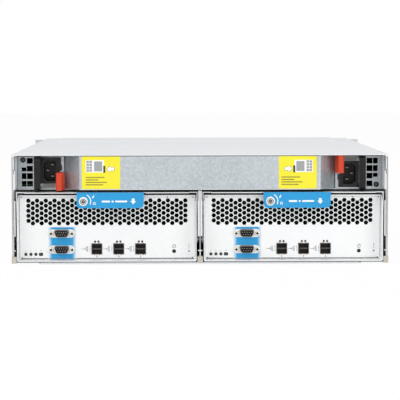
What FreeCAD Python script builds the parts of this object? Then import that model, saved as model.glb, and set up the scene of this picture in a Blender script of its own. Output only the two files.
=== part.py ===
import FreeCAD, Part
import math
import os

# Disk shelf enclosure: a 3U, 19-inch shelf for sixteen 3.5-inch disks, with two controller
# canisters and two power supplies at the rear. Millimetres. +Z is up, +Y points to the disk
# side, -Y to the rear side with the canisters. The origin is the middle of the underside.

V = FreeCAD.Vector
os.makedirs("parts", exist_ok=True)

# ---------------------------------------------------------------- driving dimensions
body_width = 446.2
body_depth = 530.0
body_height = 130.0
sheet = 1.2                     # steel sheet of the chassis
bend = 0.8                      # inside radius of its folds
gap = 0.35                      # least air between pieces that move past each other
edge_air = 0.3                  # air at the edges of sheets and boards set into the chassis

skid_inset = 33.1               # the floor is pressed down along its middle
skid_drop = 1.2
wall_flange = 4.4               # folded top of each side wall, under the lid
pad_inset = 24.4                # raised field at the lid's front, from the side walls
pad_length = 129.0
pad_end = 8.0                   # from the lid's front edge
pad_rise = 1.0

ear_width = 18.2                # 19-inch width over both ears
slot_inset = 8.75
rack_hole_pitch = 57.15
rack_slot = 10.3
rack_slot_width = 6.8
ear_thickness = 1.8
ear_margin = 2.0                # shorter than the body at top and bottom
ear_leg = 62.0

cage_sheet = 1.2
ledge_width = 4.0
ledge_thickness = 1.0
disk_width = 101.6
disk_length = 147.0
disk_height = 26.1
disk_lift = 2.4                 # least height for floor, ledge and air of a carrier
carrier_side = 3.2              # least width for its rail and half a cage plate
carrier_floor = 1.0
bezel_depth = 13.0
bezel_stand_out = 1.0           # bezel front beyond the ears' front face
bezel_gap = 0.6
lever_height = 19.6
lever_thickness = 3.6
lever_inset = 17.1              # hinge from the bay's side
lever_end_inset = 11.2
carrier_vents = 2
carrier_vent_width = 5.0
carrier_vent_pitch = 8.4

midplane_thickness = 3.2
midplane_behind_front = 240.0   # board's front face behind the ears' front face
disk_socket_depth = 8.0
rear_socket_depth = 12.0
socket_spread = 48.0            # two sockets per canister, each side of its middle
plug_height = 13.0
plug_width = 54.0
plug_length = 13.0

shelf_recess = 22.5             # shelf under the power supplies, ahead of the rear edge
frame_recess = 3.0              # rear flanges of the canister bays
divider_flange = 2.6            # half width of the middle flange
outer_flange = 3.2
flange_step_drop = 12.2         # the flanges are narrower this far below the shelf
flange_step = 1.3
flange_foot = 5.8               # they end this far above the handle's pivots
flange_tab_z = 15.4
upper_step_drop = 17.1          # their step beside the supplies, under the walls' top flanges
corner_block_height = 7.8
corner_block_width = 6.0
corner_block_depth = 14.0

canister_bottom = 3.2
canister_headroom = 6.4         # under the shelf
canister_recess = 19.0          # face behind the chassis' rear edge
canister_end_air = 5.8          # to the midplane board
canister_wall = 32.0            # height of the open tray's sides
lip_recess = 0.5                # tray's rear lips behind the chassis' rear edge
lip_relief = (12.5, 5.8)        # cut off the side lips' top corners, clear of the handle
face_fold = 9.0                 # flange folded forward round the face

hole_pitch = 6.0                # hexagonal ventilation holes of the face
hole_flats = 5.0
hole_inset = 12.15              # first hole's middle from the face's side
hole_drop = 6.4                 # first row's middle from the face's top
hole_rest = 2.0                 # plain sheet above the serial ports

tab_left = -35.3                # pull tab, from the canister's middle
tab_width = 79.2
tab_height = 17.6               # below the bar
handle_headroom = 1.9           # under the shelf
handle_bar_inset = 8.75         # the bar's rear strip ends before the canister's sides
handle_bar_depth = 7.0
handle_face_air = 2.0
handle_sheet = 1.0
handle_corner = 4.5
arm_gap = 0.35
arm_air = 0.9                   # pivot lug to the bay's wall
arm_width = 12.0
pivot_y = 25.0                  # pivot ahead of the chassis' rear edge
pivot_z = 27.2
pivot_pin = 2.0
pin_play = 0.06
lug_size = 3.0
lug_length = 1.5

screw_x = -27.35
screw_drop = 10.6               # below the bar's top
screw_head = 3.7
screw_head_height = 2.4
screw_shank = 1.8
screw_ring = 5.4
screw_ring_height = 0.8
screw_play = 0.08

serial_inset = 51.55            # from the face's left side
serial_z = (35.1, 15.8)
serial_flange = (31.0, 12.4)
serial_plate = 1.0              # thickness of that flange, behind the face
serial_shell = (16.8, 8.2)      # wide side of the D shell
serial_wall = 0.6
serial_stand_out = 6.0
serial_screw_pitch = 24.99
serial_screw_flats = 5.0
serial_screw_height = 4.0
serial_shank = 1.5
serial_draft = 10.0             # degrees

sas_x = (-12.75, 13.35, 39.45)
sas_z = 16.5
sas_size = (11.3, 11.6)
sas_wall = 0.7
sas_depth = 16.0
sas_lip = 1.0                   # cage mouth beyond the face
sas_tongue_back = 6.0

button_inset = 26.65            # from the face's right side
button_z = 13.6
button_radius = 2.0
button_length = 6.0
button_collar = 0.9
button_play = 0.3
button_travel = 1.0
pinhole_inset = 8.8
pinhole_radius = 0.9

board_z = 8.3
board_thickness = 1.6
board_inset = 8.15
sink_size = (62.0, 56.0, 22.0)
sink_fins = 7
sink_fin = 1.6
sink_base = 4.0

psu_width = 55.8
psu_height = 38.2
psu_side_air = 4.4              # to the chassis wall, where the lid's flange runs
psu_foot_air = 0.4
psu_headroom = 1.8
psu_end_air = 0.8               # to the midplane's sockets
psu_recess = 22.0
psu_wall = 1.0
psu_board = (24.0, 3.0)         # circuit board from the face, and its thickness
psu_blocks = ((-2.0, 60.0, 28.0, 36.0, 27.2), (-1.0, 116.0, 38.0, 50.0, 23.2))
vent_columns = ((-19.9, 5.6), (-12.95, 7.1))     # middle and width, from the supply's middle
vent_rows = ((13.9, 6.6), (4.65, 6.7), (-4.3, 7.2), (-13.35, 6.7))
inlet_x = 11.35                 # mains inlet, from the supply's middle
inlet_z = 2.1
inlet_flange = (17.8, 30.6)
inlet_cavity = (15.3, 24.4)
inlet_depth = 16.5
inlet_wall = 1.1
inlet_flange_thickness = 1.5
inlet_chamfer = 4.0
loop_x = -2.5                   # pull loop, from the supply's middle
loop_width = 7.6
loop_bottom = -20.4             # from the supply's middle height
loop_top = 19.7
loop_thickness = 4.0
loop_bend = 3.0
latch_x = 19.3                  # latch, from the supply's middle
latch_width = 7.0
latch_tongue = 2.5
latch_bottom = -20.5
latch_top = 0.5
latch_stand_out = 20.0
latch_pivot_inset = 1.7         # pivot from the tongue's side of the lever
latch_pivot_out = 1.9           # pivot outside the case's face
latch_pin = 0.8
latch_ear = 1.0                 # plate above the latch that holds its pin
fan_air = 0.2                   # fan frame under the case's roof
fan_depth = 18.0
fan_rim = 1.2
fan_hub = 8.5
fan_tip_gap = 0.6
fan_blades = 5
fan_blade = 1.0
fan_pitch = 32.0                # degrees
fan_shaft = 1.6

panel_air = 0.6                 # walls between the supplies, to their cases
panel_slant_width = 19.1
panel_slant_depth = 24.0

# ---------------------------------------------------------------- derived places
rear_y = -body_depth / 2
front_y = body_depth / 2
rack_width = body_width + 2 * ear_width
rack_hole_span = rack_width - 2 * slot_inset
wall_x = body_width / 2 - sheet                     # inner face of each side wall
floor_z = skid_drop + sheet                         # floor's top beside the skid
lid_z = body_height - sheet                         # lid's underside
bay_top = lid_z - sheet                             # underside of the walls' top flanges
shelf_top = lid_z - psu_headroom - psu_height - psu_foot_air
shelf_z = shelf_top - sheet
tub_front = front_y - ear_thickness - 1.0
cage_front = front_y + bezel_stand_out - bezel_depth - gap
midplane_y = front_y - midplane_behind_front
midplane_rear = midplane_y - midplane_thickness
plug_y = midplane_rear - rear_socket_depth - gap    # ends of the plugs that meet its sockets
plug_z = board_z + board_thickness + plug_height / 2
face_y = rear_y + canister_recess
psu_face_y = rear_y + psu_recess

frame_edge = wall_x - edge_air                      # outer face of the bays' side plates
block_front = rear_y + frame_recess - 0.2
canister_x = (frame_edge - sheet / 2) / 2           # middle of each canister
canister_half = (frame_edge - 3 * sheet / 2) / 2 - arm_air - lug_length - handle_sheet - arm_gap
canister_top = shelf_z - canister_headroom
canister_end = midplane_rear - canister_end_air
arm_x = canister_half + arm_gap
handle_top = shelf_z - handle_headroom
handle_bar_half = canister_half - handle_bar_inset
tab_bottom = handle_top - handle_sheet - tab_height
screw_z = handle_top - screw_drop
serial_x = serial_inset - canister_half
button_x = canister_half - button_inset
pinhole_x = canister_half - pinhole_inset
board_half = canister_half - board_inset
hole_step = hole_pitch * math.sqrt(3) / 2
hole_first_x = hole_inset - canister_half
hole_first_z = canister_top - hole_drop
hole_columns = int(-2 * hole_first_x / hole_step) + 1
hole_last_z = serial_z[0] + serial_flange[1] / 2 + hole_rest + (hole_pitch + hole_flats) / 2
hole_rows = int((hole_first_z - hole_last_z) / hole_pitch) + 1

psu_x = wall_x - psu_side_air - psu_width / 2       # middle of each power supply
psu_z = shelf_top + psu_foot_air + psu_height / 2
psu_end = midplane_rear - rear_socket_depth - psu_end_air
fan_size = psu_height - 2 * psu_wall - fan_air
fan_bore = fan_size / 2 - fan_rim
fan_z = psu_wall + fan_size / 2 - psu_height / 2    # fan's middle from the supply's middle
panel_slant_half = psu_x - psu_width / 2 - panel_air
panel_half = panel_slant_half - panel_slant_width

bay_columns = int((2 * (wall_x - bend) - cage_sheet) / (disk_width + 2 * carrier_side))
bay_rows = int((bay_top - floor_z) / (disk_height + disk_lift))
column_pitch = (2 * (wall_x - bend) - cage_sheet) / bay_columns
row_pitch = (bay_top - floor_z) / bay_rows
lever_length = column_pitch - lever_inset - lever_end_inset
lever_y = front_y + bezel_stand_out - lever_thickness / 2 - 0.2


# ---------------------------------------------------------------- helpers
def box(x0, x1, y0, y1, z0, z1):
    return Part.makeBox(x1 - x0, y1 - y0, z1 - z0, V(x0, y0, z0))


def block(cx, cy, cz, sx, sy, sz):
    return box(cx - sx / 2, cx + sx / 2, cy - sy / 2, cy + sy / 2, cz - sz / 2, cz + sz / 2)


def rod(radius, length, start, axis):
    return Part.makeCylinder(radius, length, start, axis)


def turned(radius, x, z, y0, y1, sides=12):
    """Small round piece along Y, with flats that stay inside its radius."""
    return prism(ngon(x, z, radius, sides, 180 / sides), "xz", y0, y1)


def opening(radius, x, z, sides=12):
    """Corners of a round opening, with flats that stay outside its radius."""
    return ngon(x, z, radius / math.cos(math.pi / sides), sides, 180 / sides)


def fused(first, *others):
    return first.fuse(list(others)).removeSplitter() if others else first


def to_plane(plane, u, v):
    """A 2D point on the XY, XZ or YZ plane."""
    return {"xy": V(u, v, 0), "xz": V(u, 0, v), "yz": V(0, u, v)}[plane]


def polygon(points, plane):
    corners = [to_plane(plane, u, v) for u, v in points]
    return Part.Wire(Part.makePolygon(corners + corners[:1]))


def prism(points, plane, low, high, holes=()):
    """A polygon with polygon holes, extruded along the plane's normal from low to high."""
    wires = [polygon(points, plane)] + [polygon(h, plane) for h in holes]
    face = Part.makeFace(wires, "Part::FaceMakerBullseye")
    normal = {"xy": V(0, 0, 1), "xz": V(0, 1, 0), "yz": V(1, 0, 0)}[plane]
    solid = face.extrude(normal * (high - low))
    solid.translate(normal * low)
    return solid


def ngon(cx, cz, radius, sides, turn=0.0):
    """Corners of a regular polygon."""
    return [(cx + radius * math.cos(math.radians(turn + 360 * k / sides)),
             cz + radius * math.sin(math.radians(turn + 360 * k / sides)))
            for k in range(sides)]


def rectangle(cx, cz, width, height):
    return [(cx - width / 2, cz - height / 2), (cx + width / 2, cz - height / 2),
            (cx + width / 2, cz + height / 2), (cx - width / 2, cz + height / 2)]


def rounded_side(points, radii):
    """A polyline with tangent arcs of the given radii at its inner corners, as 2D pieces."""
    pieces, last = [], points[0]
    for k in range(1, len(points) - 1):
        (ax, ay), (bx, by), (cx, cy) = points[k - 1], points[k], points[k + 1]
        la, lc = math.hypot(bx - ax, by - ay), math.hypot(cx - bx, cy - by)
        ux, uy, wx, wy = (bx - ax) / la, (by - ay) / la, (cx - bx) / lc, (cy - by) / lc
        if radii[k] == 0:
            pieces.append((last, (bx, by)))
            last = (bx, by)
            continue
        turn = math.atan2(ux * wy - uy * wx, ux * wx + uy * wy)
        back = radii[k] * math.tan(abs(turn) / 2)
        start, end = (bx - ux * back, by - uy * back), (bx + wx * back, by + wy * back)
        side = 1 if turn > 0 else -1
        centre = (start[0] - uy * side * radii[k], start[1] + ux * side * radii[k])
        out = math.hypot(bx - centre[0], by - centre[1])
        middle = (centre[0] + (bx - centre[0]) / out * radii[k],
                  centre[1] + (by - centre[1]) / out * radii[k])
        pieces += [(last, start), (start, middle, end)]
        last = end
    return pieces + [(last, points[-1])]


def folded(points, thickness, radius, plane, low, high):
    """Sheet folded along a polyline, with its material to the left; slight turns stay sharp."""
    turns, other = [0], []
    normals = []
    for (ax, ay), (bx, by) in zip(points, points[1:]):
        length = math.hypot(bx - ax, by - ay)
        normals.append((-(by - ay) / length, (bx - ax) / length))
    for k, (x, y) in enumerate(points):
        n0, n1 = normals[max(k - 1, 0)], normals[min(k, len(normals) - 1)]
        scale = thickness / (1 + n0[0] * n1[0] + n0[1] * n1[1])
        other.append((x + (n0[0] + n1[0]) * scale, y + (n0[1] + n1[1]) * scale))
        if 0 < k < len(points) - 1:
            turns.append(n0[0] * n1[1] - n0[1] * n1[0])
    outer = rounded_side(points, [0 if abs(t) < 0.75 else
                                  radius + (thickness if t > 0 else 0) for t in turns] + [0])
    inner = rounded_side(other, [0 if abs(t) < 0.75 else
                                 radius + (0 if t > 0 else thickness) for t in turns] + [0])
    edges = []
    for side in (outer, inner):
        for piece in side:
            ends = [to_plane(plane, *p) for p in piece]
            if len(ends) == 2:
                edges.append(Part.LineSegment(*ends).toShape())
            else:
                edges.append(Part.Arc(*ends).toShape())
    for a, b in ((points[0], other[0]), (points[-1], other[-1])):
        edges.append(Part.LineSegment(to_plane(plane, *a), to_plane(plane, *b)).toShape())
    face = Part.Face(Part.Wire(Part.__sortEdges__(edges)))
    normal = {"xy": V(0, 0, 1), "xz": V(0, 1, 0), "yz": V(1, 0, 0)}[plane]
    solid = face.extrude(normal * (high - low))
    solid.translate(normal * low)
    return solid


def mirrored_x(shape):
    return shape.mirror(V(0, 0, 0), V(1, 0, 0))


def save(name, *solids):
    solids = [s for shape in solids for s in shape.Solids]
    for solid in solids:
        assert solid.isValid(), name
    shape = solids[0] if len(solids) == 1 else Part.makeCompound(solids)
    shape.exportStep(f"parts/{name}.step")
    facets = sum(len(s.tessellate(1.0)[1]) for s in solids)
    print(f"{name}: {len(solids)} solids, about {facets} facets")
    save.total = getattr(save, "total", 0) + facets


# ---------------------------------------------------------------- chassis
def chassis_tub():
    """Floor, side walls and their top flanges, folded from one sheet."""
    half = body_width / 2
    skid = half - skid_inset
    right = [(skid, 0), (skid + skid_drop, skid_drop), (half, skid_drop), (half, lid_z),
             (half - wall_flange, lid_z)]
    left = [(-x, z) for x, z in reversed(right)]
    tub = folded(left + right, sheet, bend, "xz", rear_y, tub_front)
    back, high = block_front + gap, skid_drop + corner_block_height + gap
    notch = box(half - corner_block_width - gap, half + 1, rear_y - 1, back, -1, high)
    return tub.cut([notch, mirrored_x(notch)])


def top_cover():
    """Flat lid with a hollow raised pad over the disks."""
    half = body_width / 2
    lid = box(-half, half, rear_y, tub_front, lid_z, body_height)
    side, end = half - pad_inset, tub_front - pad_end
    start = end - pad_length
    pad = box(-side, side, start, end, body_height, body_height + pad_rise)
    hollow = box(-side + sheet, side - sheet, start + sheet, end - sheet, lid_z,
                 lid_z + pad_rise)
    return fused(lid, pad).cut(hollow)


def rack_ear():
    """Angle bracket outside the right wall, with two slots for the rack's bolts."""
    half = body_width / 2
    ear = folded([(rack_width / 2, front_y), (half, front_y), (half, front_y - ear_leg)],
                 ear_thickness, bend, "xy", ear_margin, body_height - ear_margin)
    flat = (rack_slot - rack_slot_width) / 2
    for z in (body_height / 2 - rack_hole_pitch / 2, body_height / 2 + rack_hole_pitch / 2):
        slot = block(rack_hole_span / 2, front_y, z, 2 * flat, 20, rack_slot_width)
        ends = [rod(rack_slot_width / 2, 20, V(rack_hole_span / 2 + s * flat, front_y - 10, z),
                    V(0, 1, 0)) for s in (-1, 1)]
        ear = ear.cut(fused(slot, *ends))
    return ear


def bay_frame():
    """Shelf under the power supplies with the walls and rear flanges of the canister bays."""
    edge = frame_edge
    rear = rear_y + frame_recess
    foot, step = pivot_z + flange_foot, shelf_z - flange_step_drop
    top, upper_step = bay_top - edge_air, bay_top - upper_step_drop
    shelf = box(-edge, edge, rear_y + shelf_recess, midplane_rear - gap, shelf_z, shelf_top)
    wall = box(-sheet / 2, sheet / 2, rear, midplane_rear - gap, sheet, shelf_z)
    sides = [box(s * edge - (sheet if s > 0 else 0), s * edge + (sheet if s < 0 else 0),
                 rear, midplane_rear - gap, floor_z + bend, top) for s in (-1, 1)]

    def flange(x0, x1, narrow0, narrow1):
        wide = box(x0, x1, rear, rear + sheet, foot, step)
        upper = box(narrow0, narrow1, rear, rear + sheet, step, shelf_z)
        tab = box(x0, x1, rear, rear + sheet, flange_tab_z, flange_tab_z + sheet)
        return [wide, upper, tab]

    pieces = flange(-divider_flange, divider_flange, -divider_flange + flange_step / 2,
                    divider_flange - flange_step / 2)
    for s in (-1, 1):
        inner, outer = s * (edge - outer_flange), s * edge
        narrow = s * (edge - outer_flange + flange_step)
        pieces += flange(min(inner, outer), max(inner, outer), min(narrow, outer),
                         max(narrow, outer))
        pieces += [box(min(inner, outer), max(inner, outer), rear, rear + sheet, shelf_top,
                       upper_step),
                   box(min(narrow, outer), max(narrow, outer), rear, rear + sheet, upper_step,
                       top)]
    return fused(shelf, wall, *sides, *pieces)


def corner_blocks():
    """Plastic blocks in notches at the chassis' lower rear corners and under the divider."""
    high = skid_drop + corner_block_height
    back = rear_y + corner_block_depth
    outer = body_width / 2
    corner = box(outer - corner_block_width, outer, rear_y, block_front, skid_drop, high)
    half = divider_flange + 0.6
    middle = box(-half, half, rear_y, back, sheet, high)
    slot = box(-sheet / 2 - 0.05, sheet / 2 + 0.05, block_front, back, sheet, high)
    return [corner, mirrored_x(corner), middle.cut(slot)]


def centre_panel():
    """Galvanised panel between the supplies; its ends slant in and run on as their walls."""
    deep, flat = rear_y + panel_slant_depth, rear_y
    right = [(panel_half, flat), (panel_slant_half, deep), (panel_slant_half, midplane_rear - gap)]
    left = [(-x, y) for x, y in reversed(right)]
    return folded(left + right, sheet, 1.6, "xy", shelf_top, lid_z)


# ---------------------------------------------------------------- disk side
def column_x(column):
    return (column - (bay_columns - 1) / 2) * column_pitch


def row_z(row):
    return floor_z + row * row_pitch


def drive_cage():
    """Upright plates with ledges on which the carriers slide."""
    plates = []
    for k in range(bay_columns + 1):
        x = (k - bay_columns / 2) * column_pitch
        outer = k in (0, bay_columns)
        low, high = (floor_z, bay_top - edge_air) if outer else (sheet, lid_z)
        left = x - cage_sheet / 2
        right = x + cage_sheet / 2
        ledge_left = left if k == 0 else left - ledge_width
        ledge_right = right if k == bay_columns else right + ledge_width
        side = []
        for row in range(bay_rows):
            z = row_z(row)
            side += [(right, z), (ledge_right, z), (ledge_right, z + ledge_thickness),
                     (right, z + ledge_thickness)]
        rise = [(x, z) for x, z in side if ledge_right > right] or [(right, low)]
        fall = [(left if x == right else ledge_left, z) for x, z in reversed(side)
                if ledge_left < left] or [(left, low)]
        if low < floor_z:
            rise, fall = [(right, low)] + rise, fall + [(left, low)]
        points = rise + [(right, high), (left, high)] + fall
        clean = [p for i, p in enumerate(points) if p != points[i - 1]]
        plates.append(prism(clean, "xz", midplane_y, cage_front))
    return plates


def disk_carrier(column, row):
    """Bezel with a lever pocket and vents, side rails, floor and the disk it holds."""
    x, base = column_x(column), row_z(row) + ledge_thickness + gap
    half = column_pitch / 2 - cage_sheet / 2 - 0.6
    tail = midplane_y + disk_socket_depth + 1.8
    bezel_back = front_y + bezel_stand_out - bezel_depth
    top = base + row_pitch - ledge_thickness - 2 * gap - 0.5
    inner = disk_width / 2
    rail = [(-half, base), (half, base), (half, top), (inner, top),
            (inner, base + carrier_floor), (-inner, base + carrier_floor), (-inner, top),
            (-half, top)]
    tray = prism([(x + u, z) for u, z in rail], "xz", tail, bezel_back)
    front = front_y + bezel_stand_out
    bezel = box(x - column_pitch / 2 + bezel_gap, x + column_pitch / 2 - bezel_gap,
                bezel_back, front, row_z(row) + 0.3, row_z(row) + row_pitch - 0.3)
    middle_z = row_z(row) + row_pitch / 2
    hinge_x = x - column_pitch / 2 + lever_inset
    reach = lever_thickness / 2
    pocket = box(hinge_x - reach - 1.2, hinge_x - reach + lever_length + 0.6,
                 lever_y - reach - 0.9, front, middle_z - lever_height / 2 - 0.4,
                 middle_z + lever_height / 2 + 0.4)
    first = hinge_x - reach + lever_length + 3.6
    slots = [block(first + i * carrier_vent_pitch, front - bezel_depth / 2, middle_z,
                   carrier_vent_width, bezel_depth + 2, lever_height)
             for i in range(carrier_vents)
             if first + i * carrier_vent_pitch + 3 < x + column_pitch / 2 - bezel_gap]
    disk = box(x - inner, x + inner, tail, tail + disk_length, base + carrier_floor,
               base + carrier_floor + disk_height)
    return fused(tray, bezel).cut([pocket] + slots), disk


def carrier_lever(column, row):
    """Front lever with a hinge knuckle, a finger hollow and a hooked tip."""
    x = column_x(column) - column_pitch / 2 + lever_inset
    z = row_z(row) + row_pitch / 2
    half, reach = lever_height / 2, lever_thickness / 2
    end = lever_length - reach
    outline = [(-reach, -reach), (end - 1.2, -reach), (end, -reach + 1.2), (end, reach),
               (end - 14, reach), (end - 17, reach - 1.8), (end - 30, reach - 1.8),
               (end - 33, reach), (-reach, reach)]
    lever = prism([(x + u, lever_y + v) for u, v in outline], "xy", z - half, z + half)
    return lever


def midplane_board():
    """Upright board between disks and canisters with its sockets and air windows."""
    edge, top = wall_x - bend - edge_air, bay_top - edge_air
    windows = [rectangle(s * column_pitch, row_z(r) + row_pitch - 2.2, 190.0, 6.4)
               for s in (-1, 1) for r in range(bay_rows - 1)]
    board = prism([(-edge, floor_z + edge_air), (edge, floor_z + edge_air), (edge, top),
                   (-edge, top)], "xz", midplane_rear, midplane_y, windows)
    sockets = [block(column_x(c), midplane_y + disk_socket_depth / 2, row_z(r) + 9.0,
                     42.0, disk_socket_depth, 6.0)
               for c in range(bay_columns) for r in range(bay_rows)]
    rear = midplane_rear - rear_socket_depth / 2
    for s in (-1, 1):
        sockets += [block(s * canister_x + u, rear, plug_z, plug_width + 4, rear_socket_depth,
                          plug_height) for u in (-socket_spread, socket_spread)]
        sockets.append(block(s * psu_x, rear, psu_z, 40.0, rear_socket_depth, 9.0))
    return [board] + sockets


# ---------------------------------------------------------------- controller canister
def face_holes():
    """Hexagons in a close pattern, left out where the pull tab covers them."""
    holes = []
    for column in range(hole_columns):
        x = hole_first_x + column * hole_step
        for row in range(hole_rows):
            z = hole_first_z - (row + column % 2 / 2) * hole_pitch
            behind = (tab_left < x < tab_left + tab_width
                      and z > tab_bottom + hole_flats / 4)
            if not behind:
                holes.append(ngon(x, z, hole_flats / math.sqrt(3), 6))
    return holes


def d_outline(cx, cz, width, height):
    """D-shaped connector outline, wide side up."""
    slope = height * math.tan(math.radians(serial_draft))
    w, h, c = width / 2, height / 2, 1.6
    return [(cx - w + slope + c, cz - h), (cx + w - slope - c, cz - h),
            (cx + w - slope, cz - h + c), (cx + w, cz + h - c), (cx + w - c, cz + h),
            (cx - w + c, cz + h), (cx - w, cz + h - c), (cx - w + slope, cz - h + c)]


def controller_tray(x):
    """Perforated rear face set back between the lips of an open tray."""
    low, high, half = canister_bottom, canister_top, canister_half
    inner, floor, lip = half - sheet, low + sheet, rear_y + lip_recess
    holes = face_holes()
    holes += [rectangle(sx, sas_z, sas_size[0] + 2 * sas_wall + 0.4,
                        sas_size[1] + 2 * sas_wall + 0.4) for sx in sas_x]
    holes += [d_outline(serial_x, z, serial_shell[0] + 0.6, serial_shell[1] + 0.6)
              for z in serial_z]
    holes += [opening(serial_shank + 0.3, serial_x + s * serial_screw_pitch / 2, z, 6)
              for z in serial_z for s in (-1, 1)]
    holes += [ngon(screw_x, screw_z, screw_shank + 0.9, 8, 22.5),
              ngon(pinhole_x, button_z, pinhole_radius, 6),
             opening(button_radius + button_play, button_x, button_z)]
    face = prism([(-inner, floor + bend), (bend - inner, floor), (inner - bend, floor),
                  (inner, floor + bend), (inner, high), (-inner, high)], "xz", face_y,
                 face_y + sheet, holes)
    pan = folded([(-half, low + canister_wall), (-half, low), (half, low),
                  (half, low + canister_wall)], sheet, bend, "xz", lip, canister_end)
    top = box(-inner, inner, face_y + sheet, face_y + face_fold, high - sheet, high)
    side = [(lip, low + canister_wall), (face_y + face_fold, low + canister_wall),
            (face_y + face_fold, high), (lip + lip_relief[0], high), (lip, high - lip_relief[1])]
    face = fused(face, top, prism(side, "yz", inner, half), prism(side, "yz", -half, -inner))
    for s in (-1, 1):
        pan = pan.cut(rod(pivot_pin + pin_play, 6, V(s * half - 3, rear_y + pivot_y, pivot_z),
                          V(1, 0, 0)))
    for piece in (face, pan):
        piece.translate(V(x, 0, 0))
    return [face, pan]


def controller_board(x):
    """Circuit board with its finned heat sink, memory module and rear edge sockets."""
    y0, y1 = face_y + sheet + serial_plate + 0.3, plug_y - 3
    top = board_z + board_thickness
    board = box(-board_half, board_half, y0, y1, board_z, top)
    posts = [box(px - 3, px + 3, py - 3, py + 3, canister_bottom + sheet, board_z)
             for px in (-board_half + 8, board_half - 8) for py in (y0 + 24, y1 - 16)]
    sx, sy, sz = sink_size
    centre_y = (y0 + y1) / 2
    pitch = (sx - sink_fin) / (sink_fins - 1)
    comb = [(-sx / 2, top), (sx / 2, top)]
    for i in reversed(range(sink_fins)):
        left = -sx / 2 + i * pitch
        comb += [(left + sink_fin, top + sink_base), (left + sink_fin, top + sz),
                 (left, top + sz), (left, top + sink_base)]
    comb[2], comb[-1] = (sx / 2, top + sink_base), (-sx / 2, top + sink_base)
    comb = [p for i, p in enumerate(comb) if p != comb[i - 1]]
    sink = prism(comb, "xz", centre_y - sy / 2, centre_y + sy / 2)
    memory = box(50, 54, centre_y - 60, centre_y + 60, top, top + 30)
    plugs = [block(u, plug_y - plug_length / 2, plug_z, plug_width, plug_length, plug_height)
             for u in (-socket_spread, socket_spread)]
    pieces = [board, sink, memory] + posts + plugs
    for piece in pieces:
        piece.translate(V(x, 0, 0))
    return pieces


def serial_port(z):
    """Male nine-pin socket: flange behind the face, hollow D shell, body and jack posts."""
    wide, tall = serial_flange
    back = face_y + sheet
    flange = box(serial_x - wide / 2, serial_x + wide / 2, back, back + serial_plate,
                 z - tall / 2, z + tall / 2)
    flange = flange.makeChamfer(2.0, [e for e in flange.Edges
                                      if abs(e.tangentAt(e.FirstParameter).y) > 0.9])
    shell = prism(d_outline(serial_x, z, *serial_shell), "xz", face_y - serial_stand_out,
                  back)
    inner = d_outline(serial_x, z, serial_shell[0] - 2 * serial_wall,
                      serial_shell[1] - 2 * serial_wall)
    cavity = prism(inner, "xz", face_y - serial_stand_out - 1, face_y - 0.5)
    body = prism(inner, "xz", back + serial_plate, face_y + 9.0)
    posts = []
    for x in (serial_x - serial_screw_pitch / 2, serial_x + serial_screw_pitch / 2):
        posts += [turned(serial_screw_flats / math.sqrt(3), x, z,
                         face_y - serial_screw_height, face_y, 6),
                  turned(serial_shank, x, z, face_y, back, 6)]
    return fused(flange, shell, body, *posts).cut(cavity)


def sas_port(sx):
    """Square cage with a tongue across its middle, open at the rear."""
    w, h = sas_size[0] + 2 * sas_wall, sas_size[1] + 2 * sas_wall
    cage = block(sx, face_y - sas_lip + sas_depth / 2, sas_z, w, sas_depth, h)
    cavity = block(sx, face_y - sas_lip + sas_depth / 2 - sas_wall, sas_z, sas_size[0],
                   sas_depth, sas_size[1])
    tongue = box(sx - sas_size[0] / 2, sx + sas_size[0] / 2, face_y + sas_tongue_back - sas_lip,
                 face_y - sas_lip + sas_depth - sas_wall, sas_z - 1.1, sas_z + 1.1)
    return fused(cage.cut(cavity), tongue)


def port_sockets(x):
    pieces = [serial_port(z) for z in serial_z] + [sas_port(sx) for sx in sas_x]
    for piece in pieces:
        piece.translate(V(x, 0, 0))
    return pieces


def pull_handle(x):
    """Bar with a folded-down tab, on two arms that pivot beside the tray."""
    t = handle_sheet
    plate_back = face_y - handle_face_air
    step = rear_y + handle_bar_depth
    plate = prism([(-handle_bar_half, rear_y), (handle_bar_half, rear_y),
                   (handle_bar_half, step), (arm_x + t, step), (arm_x + t, plate_back),
                   (-arm_x - t, plate_back), (-arm_x - t, step), (-handle_bar_half, step)],
                  "xy", handle_top - t, handle_top)
    tab = box(tab_left, tab_left + tab_width, rear_y, rear_y + t, tab_bottom, handle_top - t)
    tab = tab.makeFillet(handle_corner, [e for e in tab.Edges
                                         if abs(e.tangentAt(e.FirstParameter).y) > 0.9
                                         and e.CenterOfMass.z < tab_bottom + 1])
    notches = [box(u - 1.0, u + 1.0, rear_y - 1, rear_y + 4, handle_top - t - 1, handle_top + 1)
               for u in (tab_left - 1.4, tab_left + tab_width + 1.4)]
    py = rear_y + pivot_y
    arm = [(step, handle_top), (step, handle_top - 11.3), (py - arm_width / 2, pivot_z + 8),
           (py - arm_width / 2, pivot_z - 3), (py - 3, pivot_z - arm_width / 2),
           (py + 3, pivot_z - arm_width / 2), (py + arm_width / 2, pivot_z - 3),
           (py + arm_width / 2, pivot_z + 8), (plate_back, handle_top)]
    pieces = [tab]
    for s in (-1, 1):
        inner, outer = s * arm_x, s * (arm_x + t)
        pieces.append(prism(arm, "yz", min(inner, outer), max(inner, outer)))
        lug = prism(ngon(py, pivot_z, lug_size / math.cos(math.pi / 8), 8, 22.5), "yz",
                    min(outer, outer + s * lug_length), max(outer, outer + s * lug_length))
        end = inner - s * (arm_gap + sheet + 0.8)
        pin = rod(pivot_pin, abs(end - inner), V(min(inner, end), py, pivot_z), V(1, 0, 0))
        pieces += [lug, pin]
    ring = turned(screw_ring, screw_x, screw_z, rear_y - screw_ring_height, rear_y)
    handle = fused(plate.cut(notches), *pieces, ring)
    handle = handle.cut(rod(screw_shank + screw_play, 10, V(screw_x, rear_y - 5, screw_z),
                            V(0, 1, 0)))
    handle.translate(V(x, 0, 0))
    return handle


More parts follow.
